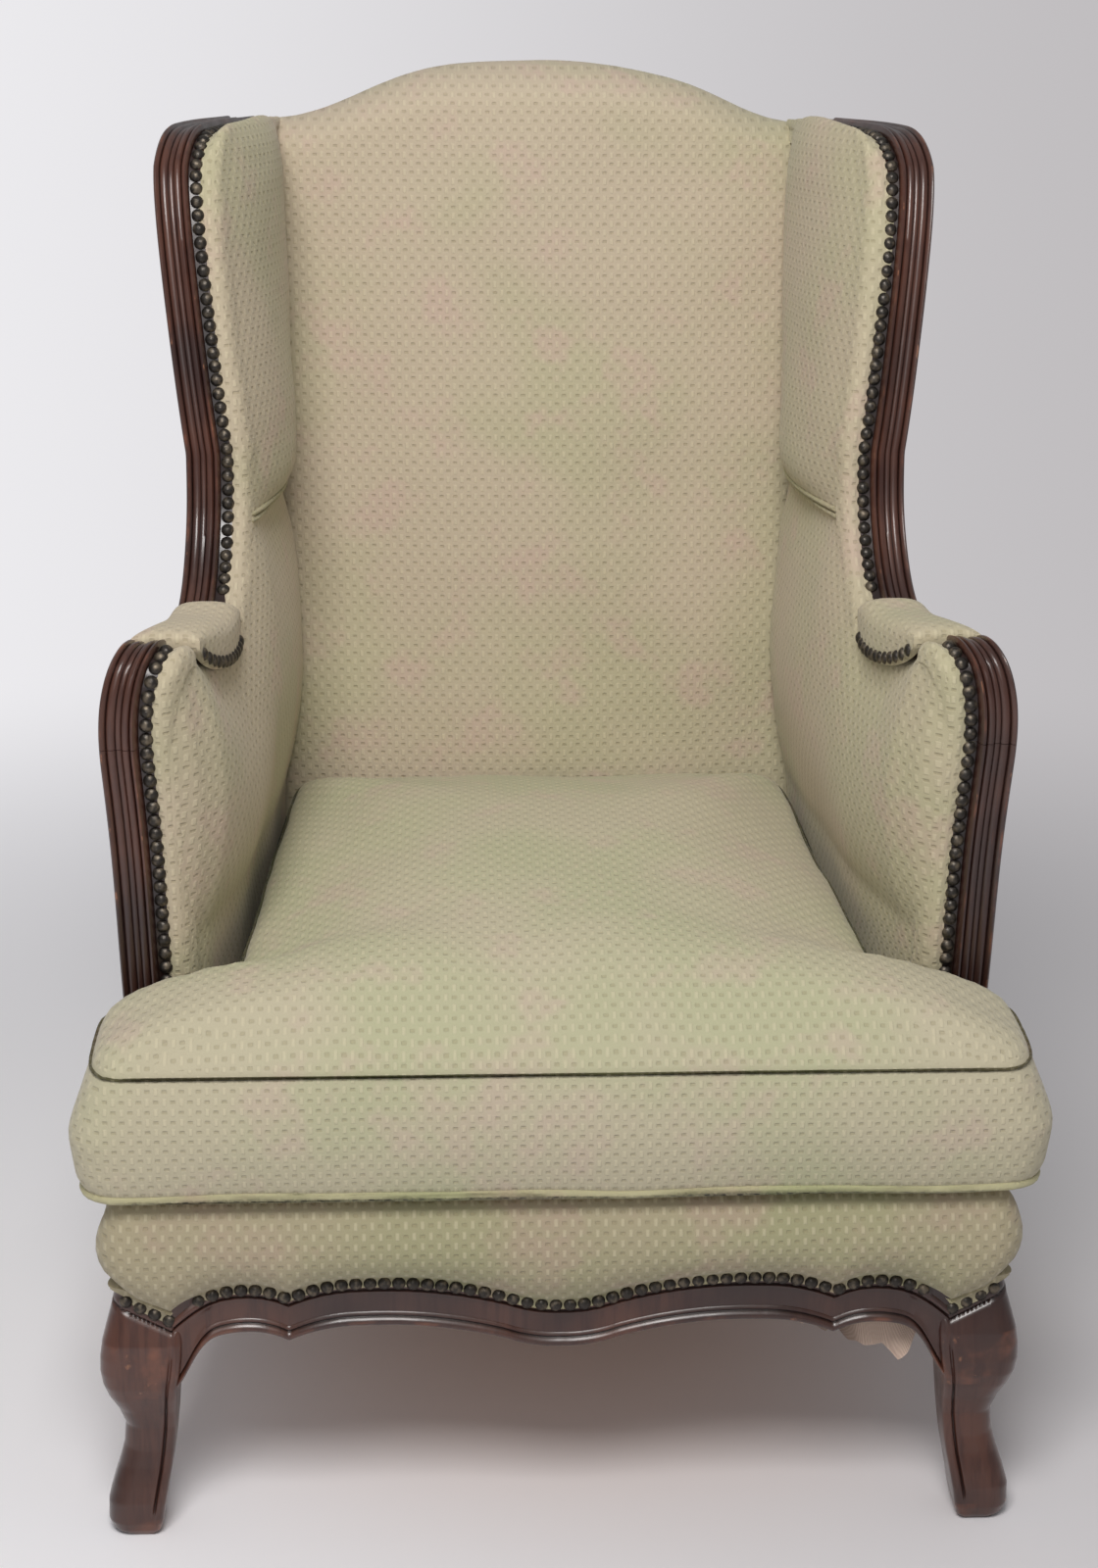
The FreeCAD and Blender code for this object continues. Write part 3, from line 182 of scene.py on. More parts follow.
RAIL_REAR_RISE = (30.0, 1.5)
RAIL_REAR_TONE = 0.3
KNEE_HALF = 356.0
LEG_SECTIONS = ((0, 351, 317), (4, 354, 314.5), (12, 356, 312.5), (28, 355.5, 310), (42, 351.5, 307.5),
                (55, 347, 305), (70, 343, 303), (88, 341.5, 301), (104, 346, 299.7), (118, 352, 298.5),
                (130, 355.6, 297), (142, 357, 295), (154, 356.6, 293.5), (166, 354.8, 292.6),
                (178, 351.4, 293.5), (190, 348, 296), (204, 345, 299), (214, 345, 300))
LEG_STEP = 1.5
LEG_OUTER_ROUND = 16.0
LEG_INNER_ROUND = 6.0
LEG_ROUND_STEPS = 8
LEG_FACE_POINTS = 40
LEG_FACE_MARGIN = 0.5
LEG_FACE_DEPTH = 12.0
LEG_PLAIN_FOOT = 10.0
LEG_TONE = 0.55
CARVED_TONE = 0.6
WORN_TONE = 0.35
WORN_FOOT = 16.0
WORN_KNEE = (120.0, 168.0)
# Grooves beside the bead of the leg and under the nails: place, width, depth
LEG_GROOVE = (8.0, 1.2, 2.6)
LEG_GROOVE_FOOT = (8.0, 30.0)
LEG_GROOVE_TOP = (150.0, 170.0)
COLLAR_GROOVE = (9.5, 1.3, 3.2)

# Front border
BORDER_FRONT = -8.0
BORDER_TOP = 286.5
BORDER_HALF = 352.0
BORDER_END = 1.0
BORDER_REAR = 98.0
BORDER_ROUND = 26.0
BORDER_SIDE_BOTTOM = 212.0
BORDER_STRIP = 9.5
BORDER_POINTS = (16, 10, 90)
BORDER_TURN = (0.3, 1.0)
BORDER_CORE = -30.0
BORDER_NAIL_SEAT = 3.2
BORDER_NAIL_END = 345.0
SIDE_STRIP = 3.0
SIDE_STRIP_FACE = -5.0
# Strip under the nails: share of its height, rise, offset
STRIP_PROFILE = ((0.0, 0.0, -3.0), (0.0, 0.2, 0.0), (1.0, -1.6, 0.0), (1.0, -0.4, 1.2))
BORDER_SECTION = ((0.015, -15), (0.04, -12.4), (0.09, -8), (0.15, -4), (0.22, -0.4), (0.31, 2.2),
                  (0.42, 3.6), (0.53, 3.2), (0.64, 1.2), (0.75, -1.8), (0.85, -5.4), (0.94, -10), (1, -16),
                  (1, -30), (0.3, -30))
STRIP_FACE = ((0, -17.7), (292, -17.7), (300, -13.4), (345, -17.3))

# Dust cover and its torn flap: (x, drop) along the ragged edge
FLAP_EDGE = ((178, 5), (186, 11), (193, 6), (204, 13), (212, 7), (222, 20), (236, 30), (250, 27), (262, 38),
             (270, 30), (276, 14), (281, 4))
FLAP_TOP = 166.6
FLAP_Y = 42.0
FLAP_THICKNESS = 0.6
FLAP_COLUMNS = 61
FLAP_ROWS = 9
FLAP_SLANT = 4.0
FLAP_SWING = 8.0
# height, length and phase of each fold
FLAP_FOLDS = ((5.0, 9.0, 0.0), (2.0, 3.7, 2.0))

# Cushion
WELT_LOW = 294.0
WELT_HIGH = 394.0
CUSHION_TILT = math.tan(math.radians(6.3))
CUSHION_BOTTOM = 287.0
EAR_EASE = 9.0
WELT_RADIUS = 4.0
SEAM_STAND = 0.9
LONGEST_EDGE = 9.0
TRIM_PASSES = 6
PIPING_SPLIT = 30.0
# The thin upper piping is coloured dark to paint the shadow line along the upper seam; the lower piping has
# the cloth's own pale colour
# name, upper seam or not, radius, colour
PIPINGS = (("lower_piping", False, 3.4, (178, 172, 138)), ("upper_piping", True, 1.2, (84, 78, 54)))
PIPING_WEAVE = 0.3
TILT_START = -20.0
PIN_REACH = 6.0
PIN_REACH_UPPER = 5.0
PIN_BOTTOM = 2.0
CUSHION_PRESSURE = 3.0
CUSHION_SWELL = 12.0
CUSHION_CROWN = (470.0, 110.0, 24)
EAR_ACROSS = (290.0, 70.0)
EAR_LIFT = (340.0, 50.0)
# Marks on the cloth: place and radius in metres, colour, strength
CUSHION_STAIN = (((-0.198, -0.306, 0.405), 0.035, (160, 130, 96), 0.4),)

# Remeshing: size of the mesh and passes of smoothing
CUSHION_MESH = (6.0, 3)
BACK_MESH = (6.0, 4)
SIDE_MESH = (4.0, 5)
AS_BUILT = (0, 0)

# Unevenness: size and height in metres, seed
CUSHION_RIPPLE = (0.09, 0.0025, 3.0)
PIPING_RIPPLE = (0.007, 0.0004, 2.0)
BACK_RIPPLE = (0.11, 0.004, 1.0)
SIDE_RIPPLE = (0.1, 0.0035, 5.0)
BORDER_RIPPLE = (0.07, 0.0015, 9.0)

SHARP_ANGLE = 50.0
SMOOTH_FACTOR = 0.5
CLOTH_STEPS = 16
CLOTH_SETTINGS = {"quality": 4, "mass": 0.2, "use_pressure": True, "tension_stiffness": 12,
                  "compression_stiffness": 12, "bending_stiffness": 0.8, "vertex_group_mass": "pin"}

# Weave of the jacquard in metres, with the reach of its marks in shares of a period
WEAVE_PERIOD = 0.0126
WEAVE_ROW = 0.0076
WEAVE_TURN = 0.6
DASH_ACROSS = (0.09, 0.19, 1.0, 0.0)
DASH_ALONG = (0.08, 0.22, 1.0, 0.0)
RIB_ACROSS = (0.34, 0.44)
RIB_ALONG = (0.25, 0.45, 1.0, 0.0)
MARK_SHARE = 0.3
THREAD_SHARE = 0.16
THREAD_NOISE = (900.0, 2.0)
BROAD_NOISE = (5.0, 3.0)
BROAD_FADE = (0.38, 0.62)
PATCH_NOISE = (17.0, 3.0, (1.0, 1.0, 1.0), 0.6)
PATCH_FADE = (0.52, 0.7, 0.0, 0.55)
STUFFING_NOISE = (26.0, 2.0)
GREEN_SHIFT = (-8, -1, -8)
ROSE_SHIFT = (5, -7, 3)
THREAD_SHIFT = (-40, -42, -46)
DASH_COLOUR = (142, 130, 98)
RIB_COLOUR = (214, 204, 174)
RIB_RELIEF = 0.7
THREAD_RELIEF = 0.35
WEAVE_BUMP = (0.0006, 0.9)
STUFFING_BUMP = (0.0022, 0.5)
CLOTH_SURFACE = {"Roughness": 0.92, "Sheen Weight": 0.15, "Sheen Roughness": 0.5, "Specular IOR Level": 0.25}

CUSHION_COLOUR = (188, 180, 155)
BACK_COLOUR = (193, 179, 157)
SIDE_COLOUR = (190, 177, 153)
CORD_COLOUR = (176, 166, 136)
# The border's cloth is a darker copy of the cover colour, painted shade under the overhanging cushion
BORDER_COLOUR_PAINTED_SHADE = (166, 156, 130)
OUTSIDE_COLOUR = (186, 177, 146)

# Woods: light and dark stain, grain, groove, rubbed and worn edge
STAIN = ((50, 30, 25), (84, 50, 38))
STAIN_GRAIN = (48, 23, 19)
GROOVE_COLOUR = (26, 13, 11)
GROOVE_FADE = (0.0, 0.45, 0.85, 0.0)
GRAIN_NOISE = (60.0, 4.0, (3.0, 1.0, 0.25), 0.6)
GRAIN_FADE = (0.42, 0.7, 0.0, 0.6)
CLOUD_NOISE = (9.0, 3.0)
CLOUD_FADE = (0.35, 0.68)
# lowest tone, noise, its fade, colour
RUBS = ((0.7, (34.0, 3.0), (0.5, 0.72), (128, 76, 52)), (0.85, (70.0, 4.0), (0.62, 0.7), (172, 116, 82)))
RUB_SHARE = 0.6
POLISH_NOISE = (40.0, 3.0)
POLISH_FADE = (0.3, 0.7, 0.28, 0.42)
STAIN_SURFACE = {"Coat Weight": 0.4, "Coat Roughness": 0.2}
STAIN_BUMP = (0.0004, 0.5)
BEECH = ((206, 176, 136), (176, 140, 100))
BEECH_NOISE = (50.0, 4.0, (0.3, 3.0, 3.0), 0.6)
BEECH_FADE = (0.35, 0.7)
BEECH_BUMP = (0.0003, 0.6)

BRONZE = ((62, 58, 54), (112, 102, 88))
BRONZE_NOISE = (160.0, 3.0)
BRONZE_FADE = (0.45, 0.7)
BRONZE_POLISH = (0.3, 0.7, 0.32, 0.5)
BRONZE_PITS = (420.0, 2.0)
BRONZE_BUMP = (0.0004, 0.6)
STEEL = ((150, 150, 148), (190, 190, 188))
STEEL_NOISE = (300.0, 3.0)
STEEL_POLISH = (0.3, 0.7, 0.28, 0.45)

# Plain cloths: light thread, dark thread, pitch, plane
LINING = ((206, 184, 168), (182, 158, 142), 0.0016, "XY")
# solid, slot, cloth
HIDDEN_CLOTHS = (("seat_deck", "deck_cloth", ((206, 196, 170), (176, 166, 140), 0.002, "XY")),
                 ("seat_hessian", "hessian", ((178, 146, 98), (116, 90, 56), 0.003, "XY")),
                 ("back_webbing", "webbing", ((170, 142, 100), (120, 96, 64), 0.003, "XZ")))
BLOT_NOISE = (14.0, 4.0)
BLOT_FADE = (0.45, 0.75, 0.0, 0.35)
BLOT_DARKNESS = 0.78
COARSE_RELIEF = (0.15, 0.7)

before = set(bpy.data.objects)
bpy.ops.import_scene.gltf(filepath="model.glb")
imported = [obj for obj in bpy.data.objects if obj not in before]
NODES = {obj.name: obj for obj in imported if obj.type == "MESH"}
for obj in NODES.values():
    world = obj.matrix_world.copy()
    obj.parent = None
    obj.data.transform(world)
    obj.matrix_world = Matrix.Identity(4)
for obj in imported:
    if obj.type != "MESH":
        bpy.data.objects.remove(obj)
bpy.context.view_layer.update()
ORIGIN_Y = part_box("front_rail")[0].y - RAIL_FRONT * MM


def place(x, y, z):
    """Millimetres behind the front plane to metres in the row frame."""
    return Vector((x * MM, ORIGIN_Y + y * MM, z * MM))


def srgb(red, green, blue):
    """Colour from 8-bit display values to scene values."""
    def curve(value):
        share = value / 255
        return share / 12.92 if share <= 0.04045 else ((share + 0.055) / 1.055) ** 2.4

    return (curve(red), curve(green), curve(blue), 1.0)


def smoothstep(low, high, value):
    share = min(1.0, max(0.0, (value - low) / (high - low)))
    return share * share * (3 - 2 * share)


# Shapes of the frame


def natural_spline(points):
    """Function of distance that passes smoothly through the points, and its length."""
    pts = np.array(points, float)
    knots = np.concatenate([[0.0], np.cumsum(np.linalg.norm(np.diff(pts, axis=0), axis=1))])
    count = len(pts)
    matrix = np.zeros((count, count))
    right = np.zeros(pts.shape)
    matrix[0, 0] = matrix[-1, -1] = 1
    steps = np.diff(knots)
    for i in range(1, count - 1):
        matrix[i, i - 1:i + 2] = steps[i - 1], 2 * (steps[i - 1] + steps[i]), steps[i]
        right[i] = 6 * ((pts[i + 1] - pts[i]) / steps[i] - (pts[i] - pts[i - 1]) / steps[i - 1])
    bend = np.linalg.solve(matrix, right)

    def value(distance):
        i = int(min(max(np.searchsorted(knots, distance) - 1, 0), count - 2))
        h = steps[i]
        a = (knots[i + 1] - distance) / h
        b = (distance - knots[i]) / h
        curve = ((a ** 3 - a) * bend[i] + (b ** 3 - b) * bend[i + 1]) * h * h / 6
        return a * pts[i] + b * pts[i + 1] + curve

    return value, knots


wood_at, wood_knots = natural_spline(STUMP_LINE + ARM_LINE + WING_LINE)


def rail_side_x(y):
    return RAIL_LINE_X - (RAIL_LINE_X - BACK_OUTER) / (BACK_FRONT - RAIL_LINE_Y) * (y - RAIL_LINE_Y)


def back_plane_y(z):
    return BACK_FRONT + max(0.0, z - LEAN_START) * LEAN


def side_x(y, z):
    """Outer face of the side anywhere."""
    flare = max(0.0, (FLARE_END - y) / FLARE_LENGTH)
    arm = BACK_OUTER + ARM_TAPER * max(0.0, back_plane_y(ARM_LEVEL) - y) + ARM_FLARE * flare ** 2
    share = min(1.0, max(0.0, (z - RAIL_TOP) / (ARM_LEVEL - RAIL_TOP)))
    head = min(1.0, max(0.0, (z - HEAD_START) / HEAD_HEIGHT))
    rise = min(1.0, max(0.0, (z - WING_START) / WING_HEIGHT))
    depth = max(0.0, (back_plane_y(z) - y) / (back_plane_y(z) - ARM_LINE[-1][0]))
    flat = rail_side_x(y) * (1 - share) + arm * share
    return flat - HEAD_LEAN * (flare * head) ** 2 + WING_LEAN * rise * min(1.0, depth)


def inward(distance):
    """Way from the show-wood's face into the wood, fanned about one point over the stump."""
    y, z = wood_at(distance)
    if z > PIVOT[1] and y < PIVOT[0]:
        way = np.array([PIVOT[0] - y, PIVOT[1] - z])
    else:
        ahead = wood_at(distance + 1.0) - wood_at(distance - 1.0)
        way = np.array([ahead[1], -ahead[0]])
    return way / np.linalg.norm(way)


def arc_centre(first, middle, last):
    """Centre of the circle through three points."""
    (ax, az), (bx, bz), (cx, cz) = first, middle, last
    a, b, c = [x * x + z * z for x, z in (first, middle, last)]
    double = 2 * (ax * (bz - cz) + bx * (cz - az) + cx * (az - bz))
    x = (a * (bz - cz) + b * (cz - az) + c * (az - bz)) / double
    z = (a * (cx - bx) + b * (ax - cx) + c * (bx - ax)) / double
    return x, z


def apron_z(x):
    """Lower edge of the front rail on its arcs, before it runs down into the leg."""
    for arc in APRON_ARCS:
        if x <= arc[-1][0]:
            break
    centre_x, centre_z = arc_centre(*arc)
    start_x, start_z = arc[0]
    drop = math.sqrt(max(0.0, (start_x - centre_x) ** 2 + (start_z - centre_z) ** 2 - (x - centre_x) ** 2))
    return centre_z + math.copysign(drop, arc[1][1] - centre_z)


def nail_line_z(x):
    """Height of the front row of nails, which dips in a V beside each knee."""
    if x <= V_X:
        return apron_z(x) + SHOW_HEIGHT
    return apron_z(V_X) + SHOW_HEIGHT + (x - V_X) * V_SLOPE


def interpolated(table, z, column):
    """Value of a column of a table at a height."""
    return float(np.interp(z, [row[0] for row in table], [row[column] for row in table]))


# Making of meshes


def in_scene(name, data):
    """New object with the data, linked to the scene."""
    obj = bpy.data.objects.new(name, data)
    bpy.context.scene.collection.objects.link(obj)
    return obj


def new_object(name, verts, faces, tones=None):
    """Mesh object with smooth shading, and a tone attribute where given."""
    mesh = bpy.data.meshes.new(name)
    mesh.from_pydata([tuple(v) for v in verts], [], faces)
    mesh.validate()
    if tones is not None:
        mesh.attributes.new("tone", "FLOAT", "POINT").data.foreach_set("value", np.array(tones, np.float32))
    obj = in_scene(name, mesh)
    tidy_normals(obj)
    return obj


def tidy_normals(obj):
    """Outward normals, and smooth shading except at sharp edges."""
    bm = bmesh.new()
    bm.from_mesh(obj.data)
    bmesh.ops.recalc_face_normals(bm, faces=bm.faces)
    for face in bm.faces:
        face.smooth = True
    for edge in bm.edges:
        edge.smooth = not (edge.is_manifold and edge.calc_face_angle() > math.radians(SHARP_ANGLE))
    bm.to_mesh(obj.data)
    bm.free()


def tube_of_rings(name, rings, tones=None):
    """Closed skin through rings of equal length, capped at both ends."""
    count = len(rings[0])
    verts = [point for ring in rings for point in ring]
    faces = []
    for row in range(len(rings) - 1):
        for i in range(count):
            j = (i + 1) % count
            faces.append((row * count + i, row * count + j, (row + 1) * count + j, (row + 1) * count + i))
    last = (len(rings) - 1) * count
    faces.append(tuple(range(count - 1, -1, -1)))
    faces.append(tuple(range(last, last + count)))
    return new_object(name, verts, faces, tones)


def mirrored_copy(obj, name):
    """The same piece on the other side of the chair."""
    copy = in_scene(name, obj.data.copy())
    copy.data.name = name
    set_points(copy, points_of(copy) * (-1, 1, 1))
    copy.data.flip_normals()
    return copy


def apply_modifiers(obj):
    """Bake the object's modifiers into its mesh."""
    graph = bpy.context.evaluated_depsgraph_get()
    mesh = bpy.data.meshes.new_from_object(obj.evaluated_get(graph))
    obj.modifiers.clear()
    obj.data = mesh


def smooth_modifier(obj, passes, group=""):
    """Relax a mesh, within a vertex group where given."""
    relax = obj.modifiers.new("relax", "SMOOTH")
    relax.factor = SMOOTH_FACTOR
    relax.iterations = passes
    relax.vertex_group = group


def soft_copy(nodes, name, voxel, smoothing, fillers=()):
    """Soft piece from the meshes of one or more solids, and of any fillers: remeshed evenly and smoothed."""
    bm = bmesh.new()
    for node in (nodes,) if isinstance(nodes, str) else nodes:
        bm.from_mesh(NODES[node].data)
    for filler in fillers:
        bm.from_mesh(filler.data)
    mesh = bpy.data.meshes.new(name)
    bm.to_mesh(mesh)
    bm.free()
    obj = in_scene(name, mesh)
    if voxel:
        remesh = obj.modifiers.new("even", "REMESH")
        remesh.mode = "VOXEL"
        remesh.voxel_size = voxel * MM
        remesh.use_smooth_shade = True
    if smoothing:
        smooth_modifier(obj, smoothing)
    apply_modifiers(obj)
    return obj


def array_of(items, key):
    """Three values of each item as an array."""
    array = np.empty(len(items) * 3, np.float32)
    items.foreach_get(key, array)
    return array.reshape(-1, 3).astype(float)


def points_of(obj):
    return array_of(obj.data.vertices, "co")


def normals_of(obj):
    return array_of(obj.data.vertex_normals, "vector")


def set_points(obj, points):
    obj.data.vertices.foreach_set("co", points.astype(np.float32).ravel())
    obj.data.update()


def relax_band(obj, level, reach, iterations):
    """Smooth a mesh more within a band of heights."""
    heights = points_of(obj)[:, 2] / MM
    group = obj.vertex_groups.new(name="band")
    for index in np.nonzero(np.abs(heights - level) < reach)[0]:
        group.add([int(index)], 1 - abs(heights[index] - level) / reach, "REPLACE")
    smooth_modifier(obj, iterations, group.name)
    apply_modifiers(obj)


def trimmed(obj, level, keep_upper):
    """Leave only the part of a mesh above or below a level."""
    bm = bmesh.new()
    bm.from_mesh(obj.data)
    bmesh.ops.delete(bm, geom=[v for v in bm.verts if (v.co.z > level) != keep_upper], context="VERTS")
    for _ in range(TRIM_PASSES):
        stretched = [edge for edge in bm.edges if edge.calc_length() > LONGEST_EDGE * MM]
        bmesh.ops.subdivide_edges(bm, edges=stretched, cuts=1, use_grid_fill=True)
    for face in bm.faces:
        face.smooth = True
    bm.to_mesh(obj.data)
    bm.free()


def ripple(obj, size, height, seed):
    """Gentle unevenness of stuffing under the cover."""
    points = points_of(obj)
    ways = normals_of(obj)
    lifts = [noise.noise(Vector(p) / size + Vector((seed, 0, 0))) * height for p in points]
    set_points(obj, points + ways * np.array(lifts)[:, None])


def puffed(obj, pinned, pressure, cap):
    """Swell a soft piece between its pinned seams by a short cloth simulation."""
    before = points_of(obj)
    group = obj.vertex_groups.new(name="pin")
    group.add([int(i) for i in np.nonzero(pinned)[0]], 1.0, "REPLACE")
    cloth = obj.modifiers.new("swell", "CLOTH")
    for key, value in CLOTH_SETTINGS.items():
        setattr(cloth.settings, key, value)
    cloth.settings.uniform_pressure_force = pressure
    cloth.settings.effector_weights.gravity = 0
    cloth.collision_settings.use_collision = False
    scene = bpy.context.scene
    for step in range(1, CLOTH_STEPS + 1):
        scene.frame_set(step)
    graph = bpy.context.evaluated_depsgraph_get()
    after = array_of(obj.evaluated_get(graph).to_mesh().vertices, "co")
    obj.modifiers.clear()
    scene.frame_set(1)
    move = after - before
    length = np.linalg.norm(move, axis=1)
    scale = np.where(length > cap * MM, cap * MM / np.maximum(length, cap * MM), 1.0)
    set_points(obj, before + move * scale[:, None])


# Materials


class Graph:
    """Small helper to build node trees."""

    def __init__(self, tree):
        self.tree = tree

    def node(self, kind, **settings):
        node = self.tree.nodes.new(kind)
        for key, value in settings.items():
            setattr(node, key, value)
        return node

    def link(self, source, target):
        self.tree.links.new(source, target)

    def feed(self, sockets, values):
        """Set or link each socket to its value."""
        for socket, value in zip(sockets, values):
            if isinstance(value, (int, float, tuple)):
                socket.default_value = value
            else:
                self.link(value, socket)

    def shade(self, socket, source):
        """Link a source to the material's own shader."""
        self.link(source, self.surface.inputs[socket])

    def constants(self, values):
        for key, value in values.items():
            self.surface.inputs[key].default_value = value

    def math(self, operation, first, second=0.0):
        node = self.node("ShaderNodeMath", operation=operation)
        self.feed(node.inputs, (first, second))
        return node.outputs[0]

    def times(self, first, second):
        return self.math("MULTIPLY", first, second)

    def vector(self, operation, first, second=None):
        node = self.node("ShaderNodeVectorMath", operation=operation)
        self.link(first, node.inputs[0])
        if second is not None:
            node.inputs[1].default_value = second
        return node.outputs

    def split(self, vector):
        node = self.node("ShaderNodeSeparateXYZ")
        self.link(vector, node.inputs[0])
        return node.outputs

    def fade(self, value, low, high, start=0.0, end=1.0):
        node = self.node("ShaderNodeMapRange", interpolation_type="SMOOTHSTEP")
        self.feed(node.inputs, (value, low, high, start, end))
        return node.outputs[0]

    def mix(self, share, first, second):
        node = self.node("ShaderNodeMix", data_type="RGBA")
        self.feed((node.inputs[0], node.inputs[6], node.inputs[7]), (share, first, second))
        return node.outputs[2]

    def mix_shaders(self, share, first, second):
        node = self.node("ShaderNodeMixShader")
        self.feed(node.inputs, (share, first, second))
        return node.outputs[0]

    def noise(self, vector, scale, detail, stretch=(1.0, 1.0, 1.0), roughness=0.5):
        mapping = self.node("ShaderNodeMapping")
        mapping.inputs["Scale"].default_value = stretch
        self.link(vector, mapping.inputs["Vector"])
        node = self.node("ShaderNodeTexNoise")
        self.link(mapping.outputs[0], node.inputs["Vector"])
        node.inputs["Scale"].default_value = scale
        node.inputs["Detail"].default_value = detail
        node.inputs["Roughness"].default_value = roughness
        return node.outputs["Fac"]

    def near(self, vector, spot, radius):
        """1 at a spot, fading to 0 at a radius."""
        return self.fade(self.vector("DISTANCE", vector, spot)["Value"], 0.0, radius, 1.0, 0.0)

    def bump(self, height, distance, strength, before=None):
        node = self.node("ShaderNodeBump")
        node.inputs["Distance"].default_value = distance
        node.inputs["Strength"].default_value = strength
        self.link(height, node.inputs["Height"])
        if before is not None:
            self.link(before, node.inputs["Normal"])
        return node.outputs[0]

    def coordinates(self, kind):
        return self.node("ShaderNodeTexCoord").outputs[kind]

    def camera_ray(self):
        return self.node("ShaderNodeLightPath").outputs["Is Camera Ray"]


def new_material(name):
    """Graph of a new material with its shader, its output, and the place on the object."""
    material = bpy.data.materials.new(name)
    material.use_nodes = True
    g = Graph(material.node_tree)
    g.tree.nodes.clear()
    g.material = material
    g.surface = g.node("ShaderNodeBsdfPrincipled")
    g.output = g.node("ShaderNodeOutputMaterial")
    g.link(g.surface.outputs[0], g.output.inputs["Surface"])
    g.where = g.coordinates("Object")
    return g


def shifted(colour, shift):
    return srgb(*[value + step for value, step in zip(colour, shift)])


def weave_axes(g, plane):
    """Coordinates across and along the weave. plane says which way the cloth lies, or BOX for all sides."""
    x, y, z = g.split(g.where)
    if plane != "BOX":
        return [(x, y, z)["XYZ".index(letter)] for letter in plane]
    normal = g.split(g.coordinates("Normal"))
    upright = g.math("LESS_THAN", g.math("ABSOLUTE", normal[2]), WEAVE_TURN)
    sideways = g.math("GREATER_THAN", g.math("ABSOLUTE", normal[0]), WEAVE_TURN)
    on_side = g.times(upright, sideways)
    across = g.math("ADD", g.times(x, g.math("SUBTRACT", 1.0, on_side)), g.times(y, on_side))
    along = g.math("ADD", g.times(z, upright), g.times(y, g.math("SUBTRACT", 1.0, upright)))
    return across, along


def jacquard(name, plane, colour, spots=(), strength=1.0):
    """Sage-beige cloth with staggered dots."""
    g = new_material(name)
    where = g.where
    u, v = weave_axes(g, plane)
    rows = g.math("DIVIDE", v, WEAVE_ROW)
    odd = g.math("MODULO", g.math("ABSOLUTE", g.math("FLOOR", rows)), 2.0)
    columns = g.math("ADD", g.math("DIVIDE", u, WEAVE_PERIOD), g.times(odd, 0.5))
    centred = [g.math("SUBTRACT", g.math("FRACT", value), 0.5) for value in (columns, rows)]
    across, along = [g.math("ABSOLUTE", value) for value in centred]
    dash = g.times(g.fade(across, *DASH_ACROSS), g.fade(along, *DASH_ALONG))
    rib = g.times(g.fade(across, *RIB_ACROSS), g.fade(along, *RIB_ALONG))
    thread = g.noise(where, *THREAD_NOISE)
    broad = g.noise(where, *BROAD_NOISE)
    patch = g.noise(where, *PATCH_NOISE)
    ground = g.mix(g.fade(broad, *BROAD_FADE), shifted(colour, GREEN_SHIFT), srgb(*colour))
    ground = g.mix(g.fade(patch, *PATCH_FADE), ground, shifted(colour, ROSE_SHIFT))
    ground = g.mix(g.times(thread, THREAD_SHARE), ground, shifted(colour, THREAD_SHIFT))
    ground = g.mix(g.times(dash, MARK_SHARE * strength), ground, srgb(*DASH_COLOUR))
    ground = g.mix(g.times(rib, MARK_SHARE * strength), ground, srgb(*RIB_COLOUR))
    for spot, radius, tint, amount in spots:
        ground = g.mix(g.times(g.near(where, spot, radius), amount), ground, srgb(*tint))
    g.shade("Base Color", ground)
    g.constants(CLOTH_SURFACE)
    relief = g.math("SUBTRACT", g.times(rib, RIB_RELIEF), dash)
    relief = g.math("ADD", relief, g.times(thread, THREAD_RELIEF))
    stuffing = g.bump(g.noise(where, *STUFFING_NOISE), *STUFFING_BUMP)
    g.shade("Normal", g.bump(relief, *WEAVE_BUMP, stuffing))
    return g.material


def mahogany(name, toned):
    """Dark red-brown stained wood, with rubbed ridges and dark grooves where the mesh carries a tone."""
    g = new_material(name)
    grain = g.noise(g.where, *GRAIN_NOISE)
    wood = g.mix(g.fade(g.noise(g.where, *CLOUD_NOISE), *CLOUD_FADE), srgb(*STAIN[0]), srgb(*STAIN[1]))
    wood = g.mix(g.fade(grain, *GRAIN_FADE), wood, srgb(*STAIN_GRAIN))
    if toned:
        tone = g.node("ShaderNodeAttribute", attribute_name="tone").outputs["Fac"]
        wood = g.mix(g.fade(tone, *GROOVE_FADE), wood, srgb(*GROOVE_COLOUR))
        for lowest, speckle, reach, colour in RUBS:
            rubbed = g.times(g.fade(tone, lowest, 1.0), g.fade(g.noise(g.where, *speckle), *reach))
            wood = g.mix(g.times(rubbed, RUB_SHARE), wood, srgb(*colour))
    g.shade("Base Color", wood)
    g.shade("Roughness", g.fade(g.noise(g.where, *POLISH_NOISE), *POLISH_FADE))
    g.constants(STAIN_SURFACE)
    g.shade("Normal", g.bump(grain, *STAIN_BUMP))
    return g.material


def plain_wood(name):
    """Unfinished beech of the hidden frame."""
    g = new_material(name)
    grain = g.noise(g.where, *BEECH_NOISE)
    g.shade("Base Color", g.mix(g.fade(grain, *BEECH_FADE), srgb(*BEECH[0]), srgb(*BEECH[1])))
    g.constants({"Roughness": 0.65})
    g.shade("Normal", g.bump(grain, *BEECH_BUMP))
    return g.material


def bronze(name):
    """Dark antique bronze of the dome nails."""
    g = new_material(name)
    worn = g.noise(g.where, *BRONZE_NOISE)
    g.shade("Base Color", g.mix(g.fade(worn, *BRONZE_FADE), srgb(*BRONZE[0]), srgb(*BRONZE[1])))
    g.constants({"Metallic": 0.75})
    g.shade("Roughness", g.fade(worn, *BRONZE_POLISH))
    g.shade("Normal", g.bump(g.noise(g.where, *BRONZE_PITS), *BRONZE_BUMP))
    return g.material


